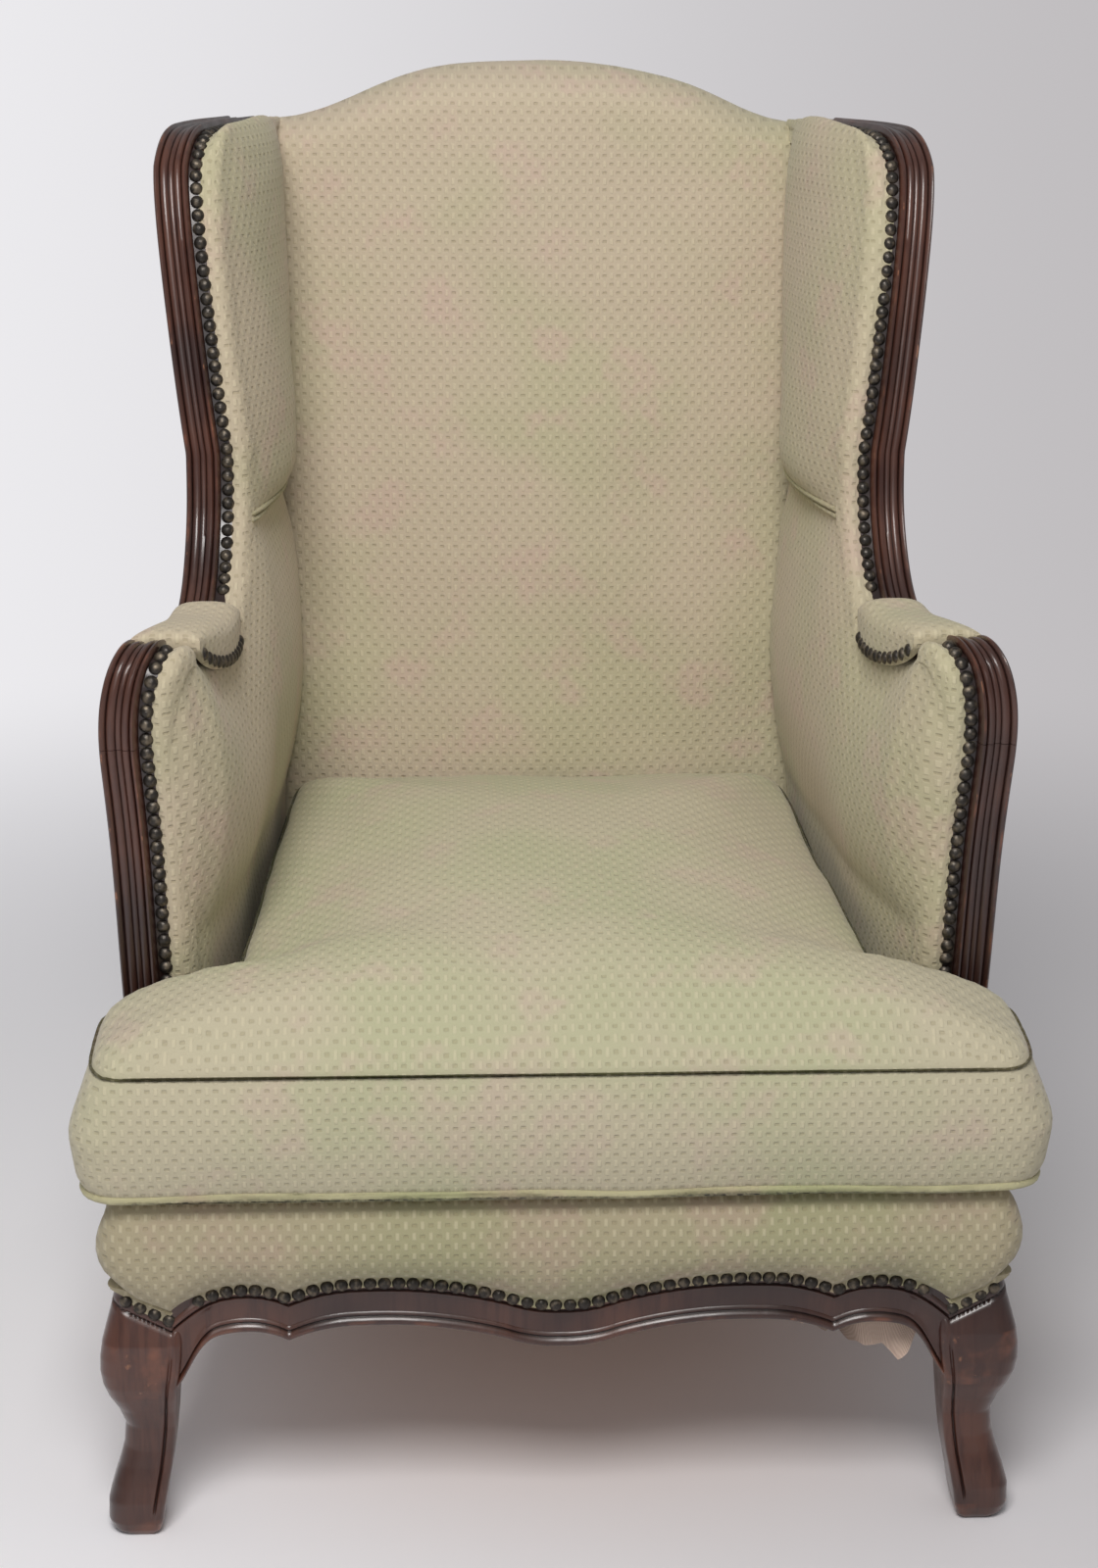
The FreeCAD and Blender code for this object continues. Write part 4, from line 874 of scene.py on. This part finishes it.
def steel(name):
    """Bright drawn wire and small fastenings."""
    g = new_material(name)
    streak = g.noise(g.where, *STEEL_NOISE)
    g.shade("Base Color", g.mix(streak, srgb(*STEEL[0]), srgb(*STEEL[1])))
    g.constants({"Metallic": 0.9})
    g.shade("Roughness", g.fade(streak, *STEEL_POLISH))
    return g.material


def coarse_cloth(name, light, dark, pitch, plane):
    """Plain woven cloth: hessian, webbing, lining or dust cover."""
    g = new_material(name)
    warp, weft = [g.math("SINE", g.times(axis, 2 * math.pi / pitch)) for axis in weave_axes(g, plane)]
    cross = g.times(warp, weft)
    colour = g.mix(g.fade(cross, -1.0, 1.0), srgb(*dark), srgb(*light))
    blot = g.fade(g.noise(g.where, *BLOT_NOISE), *BLOT_FADE)
    colour = g.mix(blot, colour, srgb(*[value * BLOT_DARKNESS for value in dark]))
    g.shade("Base Color", colour)
    g.constants({"Roughness": 0.9})
    g.shade("Normal", g.bump(cross, pitch * COARSE_RELIEF[0], COARSE_RELIEF[1]))
    return g.material


# Pieces


def keep(obj, material, nodes, body=FRAME_BODY):
    """Give a piece its material, parent it to its body and hide the solids it stands for."""
    obj.data.materials.clear()
    obj.data.materials.append(material)
    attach(obj, body)
    if nodes:
        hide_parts(*nodes)
    return obj


def stacked(sections):
    """Rings of a skin, and their tones in one list, from sections that give both."""
    rings = []
    tones = []
    for ring, ring_tones in sections:
        rings.append(ring)
        tones += ring_tones
    return rings, tones


def along(start, end):
    """Even steps between two distances along the show-wood's line."""
    return np.linspace(start, end, int((end - start) / MEMBER_STEP) + 1)


def arm_extra(y):
    """How much wider the arm is at a depth than the rest of the show-wood."""
    return ARM_EXTRA * max(0.0, 1 - ((y - ARM_EXTRA_Y) / ARM_EXTRA_HALF) ** 2)


def member_ring(distance, widened):
    """Ring of the moulded show-wood at a distance along its line."""
    spot = wood_at(distance)
    way = inward(distance)
    extra = arm_extra(spot[0]) if widened else 0.0
    ring = []
    for index, (inside, depth, _) in enumerate(MOULDING):
        y, z = spot + way * depth
        y = min(y, back_plane_y(z))
        width = extra if EXTRA_FROM <= index <= EXTRA_TO else 0.0
        ring.append(place(side_x(y, z) - inside - width, y, z))
    return ring, [tone for _, _, tone in MOULDING]


def rail_ring(x):
    """Ring of the moulded front rail at a distance from the middle."""
    bottom = apron_z(abs(x)) - KNEE_DROP * smoothstep(KNEE_DROP_FROM, KNEE_DROP_TO, abs(x)) ** 2
    top = nail_line_z(abs(x))
    forward = KNEE_FORWARD * smoothstep(KNEE_DROP_FROM, KNEE_DROP_TO, abs(x))
    ring = []
    for rise, share, depth, _ in RAIL_MOULDING:
        ring.append(place(x, RAIL_FRONT + depth - forward, bottom + (top - bottom) * share + rise))
    for level, rise in zip((top, bottom), RAIL_REAR_RISE):
        ring.append(place(x, RAIL_FRONT + RAIL_DEPTH, level + rise))
    return ring, [row[-1] for row in RAIL_MOULDING] + [RAIL_REAR_TONE] * len(RAIL_REAR_RISE)


def leg_outline(outer, inner):
    """Rounded square round the leg, with its front face finely divided."""
    front = KNEE_HALF - outer
    rear = KNEE_HALF - inner
    outline = []
    corners = ((outer, front, -1, 1), (outer, rear, -1, -1), (inner, rear, 1, -1), (inner, front, 1, 1))
    for turn, (x, y, way_x, way_y) in enumerate(corners):
        radius = LEG_OUTER_ROUND if x == outer else LEG_INNER_ROUND
        for step in range(LEG_ROUND_STEPS + 1):
            angle = math.radians(90 * (turn - 1) + 90 * step / LEG_ROUND_STEPS)
            outline.append([x + way_x * radius + radius * math.cos(angle),
                            y + way_y * radius + radius * math.sin(angle)])
    start = inner + LEG_INNER_ROUND + LEG_FACE_MARGIN
    end = outer - LEG_OUTER_ROUND - LEG_FACE_MARGIN
    return outline + [[x, front] for x in np.linspace(start, end, LEG_FACE_POINTS)]


def leg_ring(z):
    """Ring of the cabriole leg at a height, with a groove beside its bead and one under the nails."""
    outer = interpolated(LEG_SECTIONS, z, 1)
    inner = interpolated(LEG_SECTIONS, z, 2)
    ring = leg_outline(outer, inner)
    tones = []
    worn = WORN_TONE if z < WORN_FOOT or WORN_KNEE[0] < z < WORN_KNEE[1] else 0.0
    groove_at, groove_width, groove_depth = LEG_GROOVE
    collar_at, collar_width, collar_depth = COLLAR_GROOVE
    reach = smoothstep(*LEG_GROOVE_FOOT, z) * (1 - smoothstep(*LEG_GROOVE_TOP, z))
    for point in ring:
        tone = LEG_TONE
        if point[1] < KNEE_HALF - outer + LEG_FACE_DEPTH and z > LEG_PLAIN_FOOT:
            gap = nail_line_z(min(point[0], KNEE_HALF)) - z
            groove = math.exp(-((point[0] - inner - groove_at) / groove_width) ** 2) * reach
            collar = math.exp(-((gap - collar_at) / collar_width) ** 2)
            point[1] += groove_depth * groove + collar_depth * collar
            tone = min(1.0, max(0.0, CARVED_TONE * (1 - groove - collar)))
        tones.append(min(1.0, tone + worn))
    return [place(x, y, z) for x, y in ring], tones


def surface_tree(objects):
    """Search tree over the surfaces of several pieces."""
    verts = []
    faces = []
    for obj in objects:
        offset = len(verts)
        verts += [v.co.copy() for v in obj.data.vertices]
        faces += [[offset + i for i in p.vertices] for p in obj.data.polygons]
    return BVHTree.FromPolygons(verts, faces)


def cord_along(name, points, radius):
    """Thin round cord through points that run roughly level."""
    turns = [2 * math.pi * i / CORD_SIDES for i in range(CORD_SIDES)]
    rings = []
    for index, point in enumerate(points):
        ahead = (points[min(index + 1, len(points) - 1)] - points[max(index - 1, 0)]).normalized()
        across = ahead.cross(Vector((0, 0, 1))).normalized()
        up = across.cross(ahead)
        rings.append([point + (across * math.cos(a) + up * math.sin(a)) * radius * MM for a in turns])
    return tube_of_rings(name, rings)


def selvedge_rings(start, end, profile, drop):
    """Rings of the strip of cloth that runs under the nails, or of a lower one that fills up the padding."""
    rings = []
    for distance in along(start, end):
        way = inward(distance)
        spots = [(inside, wood_at(distance) + way * (depth + drop)) for inside, depth in profile]
        rings.append([place(side_x(*spot) - inside - drop, *spot) for inside, spot in spots])
    return rings


def arm_line_z(y):
    """Height of the arm's top edge at a depth."""
    start, end = wood_knots[list(ARM_TOP_KNOTS)]
    spots = np.array([wood_at(distance) for distance in np.linspace(start, end, ARM_TOP_POINTS)])
    return float(np.interp(y, spots[:, 0], spots[:, 1]))


def elbow_width(y):
    return MEMBER_WIDTH + ELBOW_EXTRA + arm_extra(y)


def elbow_rise(y):
    """Height of the dome along the pad as a share: a long slope at the front and a round end behind."""
    front = min(1.0, (y - ELBOW_START) / ELBOW_SLOPE)
    rear = min(1.0, (ELBOW_END - y) / ELBOW_ROUND)
    return math.sqrt(max(0.0, 1 - (1 - front) ** 2)) * math.sqrt(max(0.0, 1 - (1 - rear) ** 2))


def elbow_hang(y):
    """How far the pad's cover hangs down on the inner side."""
    return ELBOW_WRAP * (ELBOW_LEAST_HANG + (1 - ELBOW_LEAST_HANG) * elbow_rise(y))


def elbow_rings():
    """Rings of the small domed pad on the arm."""
    rings = []
    for share in (1 - np.cos(np.linspace(0, math.pi, ELBOW_SLICES))) / 2:
        y = ELBOW_START + (ELBOW_END - ELBOW_START) * share
        dome = (ELBOW_CROWN + ELBOW_SEAT) * elbow_rise(y)
        z = arm_line_z(y)
        seat = z - ELBOW_SEAT
        outer = side_x(y, z) + ELBOW_PROUD
        width = elbow_width(y) + ELBOW_PROUD
        inner = outer - width
        ring = []
        for angle in np.linspace(0, math.pi, ELBOW_POINTS):
            across = (1 - math.copysign(abs(math.cos(angle)) ** ELBOW_POWER, math.cos(angle))) / 2
            ring.append(place(outer - across * width, y, seat + dome * math.sin(angle) ** ELBOW_POWER))
        for drop in ELBOW_FOLDS:
            ring.append(place(inner, y, seat - elbow_hang(y) * drop))
        ring.append(place(inner + ELBOW_TUCK, y, seat - elbow_hang(y)))
        ring.append(place(inner + ELBOW_FLOOR_INSETS[0], y, z - ELBOW_FLOOR))
        ring.append(place(outer - ELBOW_FLOOR_INSETS[1], y, z - ELBOW_FLOOR))
        rings.append(ring)
    return rings


def dome_nails(name, spots):
    """One mesh of dome nails at (place, direction) spots."""
    verts = []
    faces = []
    for spot, way in spots:
        base = way.orthogonal().normalized()
        side = way.cross(base)
        first = len(verts)
        for level in range(NAIL_LEVELS):
            angle = math.radians(90 * level / NAIL_LEVELS)
            for i in range(NAIL_SIDES):
                turn = 2 * math.pi * i / NAIL_SIDES
                flat = (base * math.cos(turn) + side * math.sin(turn)) * NAIL_RADIUS * MM * math.cos(angle)
                verts.append(spot + flat + way * NAIL_HEIGHT * MM * math.sin(angle))
        crown = len(verts)
        verts.append(spot + way * NAIL_HEIGHT * MM)
        for low in range(first, crown - NAIL_SIDES, NAIL_SIDES):
            for i in range(NAIL_SIDES):
                j = (i + 1) % NAIL_SIDES
                faces.append((low + i, low + j, low + NAIL_SIDES + j, low + NAIL_SIDES + i))
        rim = crown - NAIL_SIDES
        faces += [(rim + i, rim + (i + 1) % NAIL_SIDES, crown) for i in range(NAIL_SIDES)]
        faces.append(tuple(range(first + NAIL_SIDES - 1, first - 1, -1)))
    return new_object(name, verts, faces)


def elbow_nail_spots():
    """Nails along the lower inner edge of the pad."""
    spots = []
    for y in np.arange(ELBOW_START + ELBOW_NAIL_MARGIN, ELBOW_END - ELBOW_NAIL_MARGIN, NAIL_PITCH):
        z = arm_line_z(y)
        low = z - ELBOW_SEAT - elbow_hang(y) * ELBOW_NAIL_DROP
        spots.append((place(side_x(y, z) - elbow_width(y), y, low), Vector((-1, 0, 0))))
    return spots


def keep_pair(right, name, material, node):
    """Keep a right-hand piece and its mirrored copy, standing for both sides' solids where a node is given.
    """
    left = mirrored_copy(right, name + "_left")
    for obj, side in ((right, "_right"), (left, "_left")):
        keep(obj, material, [node + side] if node else [])


def build_wood():
    """Show-wood of the arms, wings, rail and front legs."""
    toned = mahogany("show_wood_toned", True)
    joint_one = wood_knots[len(STUMP_LINE) - 1]
    joint_two = wood_knots[len(STUMP_LINE) + len(ARM_LINE) - 1]
    spans = (("arm_stump", wood_knots[0], joint_one - JOINT_GAP, False),
             ("arm_rail", joint_one + JOINT_GAP, joint_two, True),
             ("wing_frame", joint_two, wood_knots[-1], False))
    for node, start, end, widened in spans:
        sections = [member_ring(distance, widened) for distance in along(start, end)]
        right = tube_of_rings("show_" + node + "_right", *stacked(sections))
        keep_pair(right, "show_" + node, toned, node)
    sections = [rail_ring(x) for x in np.linspace(-KNEE_DROP_TO, KNEE_DROP_TO, RAIL_COLUMNS)]
    keep(tube_of_rings("show_front_rail", *stacked(sections)), toned, ["front_rail"])
    sections = [leg_ring(float(z)) for z in np.arange(0.0, LEG_SECTIONS[-1][0] + LEG_STEP, LEG_STEP)]
    keep_pair(tube_of_rings("cabriole_right", *stacked(sections)), "cabriole", toned, "front_leg")


def ease_ears(obj):
    """Draw the top of the cushion's ears inward, so that the boxing bulges past the upper seam."""
    points = points_of(obj)
    side = np.abs(points[:, 0]) / MM
    height = points[:, 2] / MM
    across = np.clip((side - EAR_ACROSS[0]) / EAR_ACROSS[1], 0, 1)
    lift = np.clip((height - EAR_LIFT[0]) / EAR_LIFT[1], 0, 1)
    points[:, 0] -= np.sign(points[:, 0]) * EAR_EASE * MM * across * lift * lift * (3 - 2 * lift)
    set_points(obj, points)


def build_cushion():
    """Loose T cushion with its two rows of piping."""
    obj = soft_copy("seat_cushion", "cushion_body", *CUSHION_MESH)
    points = points_of(obj)
    high = WELT_HIGH * MM + np.maximum(points[:, 1] - ORIGIN_Y, TILT_START * MM) * CUSHION_TILT
    pinned = np.abs(points[:, 2] - WELT_LOW * MM) < PIN_REACH * MM
    pinned |= points[:, 2] < (CUSHION_BOTTOM + PIN_BOTTOM) * MM
    pinned |= np.abs(points[:, 2] - high) < PIN_REACH_UPPER * MM
    puffed(obj, pinned, CUSHION_PRESSURE, CUSHION_SWELL)
    relax_band(obj, *CUSHION_CROWN)
    ease_ears(obj)
    ripple(obj, *CUSHION_RIPPLE)
    cloth = jacquard("cloth_cushion", "BOX", CUSHION_COLOUR, CUSHION_STAIN)
    keep(obj, cloth, ["seat_cushion"], CUSHION_BODY)
    tree = surface_tree([obj])
    for name, upper, radius, colour in PIPINGS:
        welt = soft_copy("cushion_welts", name, *AS_BUILT)
        trimmed(welt, (WELT_LOW + PIPING_SPLIT) * MM, upper)
        ways = normals_of(welt)
        set_points(welt, points_of(welt) - ways * WELT_RADIUS * MM)
        ease_ears(welt)
        found = [tree.find_nearest(Vector(core)) for core in points_of(welt)]
        seated = np.array([spot + normal * SEAM_STAND * MM for spot, normal, _, _ in found])
        set_points(welt, seated + ways * radius * MM)
        ripple(welt, *PIPING_RIPPLE)
        # The upper piping's dark colour is painted shade
        cloth = jacquard("cloth_" + name, "BOX", colour, strength=PIPING_WEAVE)
        keep(welt, cloth, ["cushion_welts"], CUSHION_BODY)


def border_path():
    """Places and outward ways along the band, from its right end round the front to its left end."""
    end_points, corner_points, front_points = BORDER_POINTS
    straight = BORDER_HALF - BORDER_ROUND
    corner = BORDER_FRONT + BORDER_ROUND
    depths = np.linspace(BORDER_REAR, corner, end_points)[:-1]
    path = [(BORDER_HALF - BORDER_END, y, 1.0, 0.0) for y in depths]
    for angle in np.linspace(0, math.pi / 2, corner_points):
        out_x = math.cos(angle)
        out_y = -math.sin(angle)
        path.append((straight + BORDER_ROUND * out_x, corner + BORDER_ROUND * out_y, out_x, out_y))
    path += [(x, BORDER_FRONT, 0.0, -1.0) for x in np.linspace(straight, 0, front_points)[1:]]
    return path + [(-x, y, -out_x, out_y) for x, y, out_x, out_y in reversed(path[:-1])]


def border_rings():
    """Rings of the padded band under the cushion, with a flat strip for the nails along its lower edge."""
    rings = []
    for x, y, out_x, out_y in border_path():
        front = smoothstep(*BORDER_TURN, -out_y)
        nails = nail_line_z(min(abs(x), BORDER_NAIL_END)) - BORDER_NAIL_SEAT
        bottom = BORDER_SIDE_BOTTOM + (nails - BORDER_SIDE_BOTTOM) * front
        strip = SIDE_STRIP_FACE + (interpolated(STRIP_FACE, abs(x), 1) - SIDE_STRIP_FACE) * front
        height = SIDE_STRIP + (BORDER_STRIP - SIDE_STRIP) * front
        spots = [(bottom + height * share + rise, strip + offset) for share, rise, offset in STRIP_PROFILE]
        foot = bottom + height
        spots += [(foot + (BORDER_TOP - foot) * level, offset) for level, offset in BORDER_SECTION]
        spots.append((bottom, BORDER_CORE))
        rings.append([place(x + out_x * offset, y + out_y * offset, z) for z, offset in spots])
    return rings


def seam_cords(side, lining, material):
    """Doubled piping across the side at the seam between arm and wing."""
    tree = surface_tree([lining])
    sign = 1 if side == "right" else -1
    for offset, name in ((-SEAM_OFFSET, "seam_lower_"), (SEAM_OFFSET, "seam_upper_")):
        path = []
        for y in np.linspace(SEAM_FRONT, SEAM_REAR, SEAM_POINTS):
            hit = tree.ray_cast(place(0, y, SEAM_HEIGHT + offset), Vector((sign, 0, 0)))[0]
            if hit is not None:
                path.append(hit - Vector((sign * SEAM_SINK * MM, 0, 0)))
        keep(cord_along(name + side, path, SEAM_RADIUS), material, [])


def raise_wing_top(obj):
    """Lift the stuffing over the top of the wing above the wood beside it."""
    points = points_of(obj)
    for index, (x, y, z) in enumerate(points):
        depth = (y - ORIGIN_Y) / MM
        height = z / MM
        inside = side_x(depth, height) - abs(x) / MM
        shares = [smoothstep(*span, value) for span, value in zip(WING_TOP_FADE, (height, inside, depth))]
        points[index, 2] += WING_TOP_RISE * MM * math.prod(shares)
    set_points(obj, points)


def filler_pair(name, start, end, profile, drop):
    """Strips on both sides that are joined into the stuffing and aren't kept themselves."""
    right = tube_of_rings("fill_" + name + "right", selvedge_rings(start, end, profile, drop))
    return [right, mirrored_copy(right, "fill_" + name + "left")]


def build_padding():
    """Inner upholstery, border and small pads."""
    back = soft_copy("inside_back", "back_padding", *BACK_MESH)
    ripple(back, *BACK_RIPPLE)
    keep(back, jacquard("cloth_back", "XZ", BACK_COLOUR), ["inside_back"])
    cloth = jacquard("cloth_side", "BOX", SIDE_COLOUR)
    cord_cloth = jacquard("cloth_cord", "YZ", CORD_COLOUR, strength=PIPING_WEAVE)
    fillers = []
    for name, first, start, last, end in EDGES:
        span = (wood_knots[first] + start, wood_knots[last] + end)
        right = tube_of_rings(name + "right", selvedge_rings(*span, SELVEDGE, 0.0))
        keep_pair(right, name[:-1], cloth, None)
        fillers += filler_pair(name, *span, SELVEDGE, SELVEDGE_DROP)
    ledge_start, ledge_end = wood_knots[list(LEDGE_KNOTS)]
    fillers += filler_pair("ledge_", ledge_start - LEDGE_LEAD, ledge_end, LEDGE_FILL, 0.0)
    for side in ("right", "left"):
        lining = soft_copy(("inside_arm_" + side, "inside_wing_" + side), "side_padding_" + side, *SIDE_MESH,
                           [piece for piece in fillers if piece.name.endswith(side)])
        relax_band(lining, *SEAM_GROOVE)
        raise_wing_top(lining)
        ripple(lining, *SIDE_RIPPLE)
        keep(lining, cloth, ["inside_arm_" + side, "inside_wing_" + side])
        seam_cords(side, lining, cord_cloth)
    for filler in fillers:
        bpy.data.objects.remove(filler)
    pad = tube_of_rings("elbow_right", elbow_rings())
    keep_pair(pad, "elbow", cloth, "arm_pad")
    nails = dome_nails("elbow_nails_right", elbow_nail_spots())
    keep_pair(nails, "elbow_nails", bronze("nail_bronze_pads"), "arm_pad_nails")
    border = tube_of_rings("border_padding", border_rings())
    ripple(border, *BORDER_RIPPLE)
    # Darker cloth on the border as painted shade
    cloth = jacquard("cloth_border", "XZ", BORDER_COLOUR_PAINTED_SHADE)
    keep(border, cloth, ["front_border"])


def torn_flap():
    """Torn strip of the dust cover behind the front rail, with ragged points and soft folds."""
    columns = np.linspace(FLAP_EDGE[0][0], FLAP_EDGE[-1][0], FLAP_COLUMNS)
    verts = []
    for side in (0.0, FLAP_THICKNESS):
        for share in np.linspace(0, 1, FLAP_ROWS):
            for x in columns:
                drop = interpolated(FLAP_EDGE, x, 1) * share
                fold = sum(height * math.sin(x / length + phase) for height, length, phase in FLAP_FOLDS)
                y = FLAP_Y + side + (fold - FLAP_SWING) * share
                verts.append(place(x + FLAP_SLANT * share, y, FLAP_TOP - drop))
    count = FLAP_COLUMNS
    layer = count * FLAP_ROWS
    faces = []
    for row in range(FLAP_ROWS - 1):
        for i in range(count - 1):
            a = row * count + i
            faces.append((a, a + 1, a + count + 1, a + count))
            faces.append((layer + a, layer + a + count, layer + a + count + 1, layer + a + 1))
    rim = list(range(count)) + [count * r + count - 1 for r in range(1, FLAP_ROWS)]
    rim += [layer - 1 - i for i in range(1, count)] + [count * r for r in range(FLAP_ROWS - 2, 0, -1)]
    faces += [(b, a, a + layer, b + layer) for a, b in zip(rim, rim[1:] + rim[:1])]
    return new_object("torn_flap", verts, faces)


def build_covers():
    """Outer covers, deck, hessian, webbing and dust cover."""
    side_cloth = jacquard("cloth_outside", "YZ", OUTSIDE_COLOUR)
    for side in ("right", "left"):
        for node in ("outside_arm_", "outside_wing_"):
            cover = soft_copy(node + side, node + side + "_cover", *AS_BUILT)
            keep(cover, side_cloth, [node + side])
    back = soft_copy("outside_back", "outside_back_cover", *AS_BUILT)
    keep(back, jacquard("cloth_outside_back", "XZ", OUTSIDE_COLOUR), ["outside_back"])
    for node, name_slot, weave in HIDDEN_CLOTHS:
        cloth = coarse_cloth("cloth_" + node, *weave)
        keep(soft_copy(node, node + "_cloth", *AS_BUILT), cloth, [node])
    lining = coarse_cloth("lining", *LINING)
    cover = soft_copy("dust_cover", "dust_cover_cloth", *AS_BUILT)
    keep(cover, lining, ["dust_cover"])
    flap = keep(torn_flap(), lining, ["dust_cover_flap"])


def paint_frame():
    """Finishes of the solids that stay as they are."""
    stained = mahogany("stained_wood", False)
    hidden = plain_wood("hidden_wood")
    dome = bronze("nail_bronze")
    wire = steel("spring_steel")
    for name, node in NODES.items():
        if "nails" in name:
            finish = dome
        elif name.startswith(("back_post", "side_rail", "back_rail")):
            finish = stained
        elif name in ("seat_springs", "spring_clips", "corner_screws"):
            finish = wire
        else:
            finish = hidden
        if not node.hide_render:
            node.data.materials.clear()
            node.data.materials.append(finish)


# Stage


def area_light(name, spot, aim, size, energy, colour):
    light = bpy.data.lights.new(name, "AREA")
    light.shape = "SQUARE"
    light.size = size
    light.energy = energy
    light.color = colour
    obj = in_scene(name, light)
    obj.location = spot
    obj.rotation_euler = (Vector(aim) - Vector(spot)).to_track_quat("-Z", "Y").to_euler()


def paper_colour_painted_shade(g, across):
    """Colour of the pale paper as the camera sees it, with painted shade: light at the left of the view and
    darker to the right.
    """
    return g.mix(g.fade(across, *PAPER_SHADE_SPREAD), srgb(*PAPER_SEEN_PAINTED_SHADE[0]), srgb(*PAPER_SEEN_PAINTED_SHADE[1]))


def floor_material():
    """Pale paper that takes the shadow under the chair, with a brown painted shadow added there and painted
    shade darker to the right; farther off the camera sees it glow in that painted shade.
    """
    g = new_material("floor_paper")
    camera_place = place(CAMERA_X / MM, -CAMERA_BACK / MM, CAMERA_Z / MM)
    away = g.vector("SUBTRACT", g.where, camera_place)[0]
    across = g.split(g.vector("NORMALIZE", away)[0])[0]
    # Painted shade: the floor's own colour darkens to the right
    ground = g.mix(g.fade(across, *PAPER_SHADE_SPREAD), *PAPER_BASE_PAINTED_SHADE)
    # Painted shadow: the floor's colour is tinted brown under the chair
    spot, radius, colour, amount = PAINTED_SHADOW_UNDER_CHAIR
    ground = g.mix(g.times(g.near(g.where, spot, radius), amount), ground, colour)
    g.shade("Base Color", ground)
    g.constants({"Roughness": 0.9})
    glow = g.node("ShaderNodeEmission")
    g.link(paper_colour_painted_shade(g, across), glow.inputs["Color"])
    far = g.fade(g.vector("LENGTH", g.where)["Value"], *PAPER_FAR)
    both = g.mix_shaders(g.times(far, g.camera_ray()), g.surface.outputs[0], glow.outputs[0])
    g.link(both, g.output.inputs["Surface"])
    return g.material


def build_world():
    """Even light from all round, seen by the camera as the pale paper with its painted shade, darker to the
    right.
    """
    world = bpy.data.worlds.new("surroundings")
    world.use_nodes = True
    g = Graph(world.node_tree)
    light = g.tree.nodes["Background"]
    light.inputs["Color"].default_value = WORLD_COLOUR
    light.inputs["Strength"].default_value = WORLD_STRENGTH
    paper = g.node("ShaderNodeBackground")
    g.link(paper_colour_painted_shade(g, g.split(g.coordinates("Generated"))[0]), paper.inputs["Color"])
    both = g.mix_shaders(g.camera_ray(), light.outputs[0], paper.outputs[0])
    g.link(both, g.tree.nodes["World Output"].inputs["Surface"])
    bpy.context.scene.world = world


def build_camera():
    data = bpy.data.cameras.new("camera")
    data.sensor_fit = "VERTICAL"
    data.sensor_height = SENSOR
    data.lens = CAMERA_LENS
    camera = in_scene("camera", data)
    camera.location = place(CAMERA_X / MM, -CAMERA_BACK / MM, CAMERA_Z / MM)
    yaw = Matrix.Rotation(math.radians(-CAMERA_YAW), 3, "Z")
    pitch = Matrix.Rotation(math.radians(90 - CAMERA_PITCH), 3, "X")
    roll = Matrix.Rotation(math.radians(CAMERA_ROLL), 3, "Z")
    camera.rotation_euler = (yaw @ pitch @ roll).to_euler()
    bpy.context.scene.camera = camera


def build_stage():
    """Pale floor, soft light from the front, and the camera."""
    corners = [(x * FLOOR_HALF, y * FLOOR_HALF, 0.0) for x, y in ((-1, -1), (1, -1), (1, 1), (-1, 1))]
    mesh = bpy.data.meshes.new("floor")
    mesh.from_pydata(corners, [], [range(4)])
    floor = in_scene("floor", mesh)
    mesh.materials.append(floor_material())
    build_world()
    for light in LIGHTS:
        area_light(*light)
    build_camera()
    bpy.context.scene.view_settings.view_transform = "Standard"


build_wood()
build_cushion()
build_padding()
build_covers()
paint_frame()
build_stage()
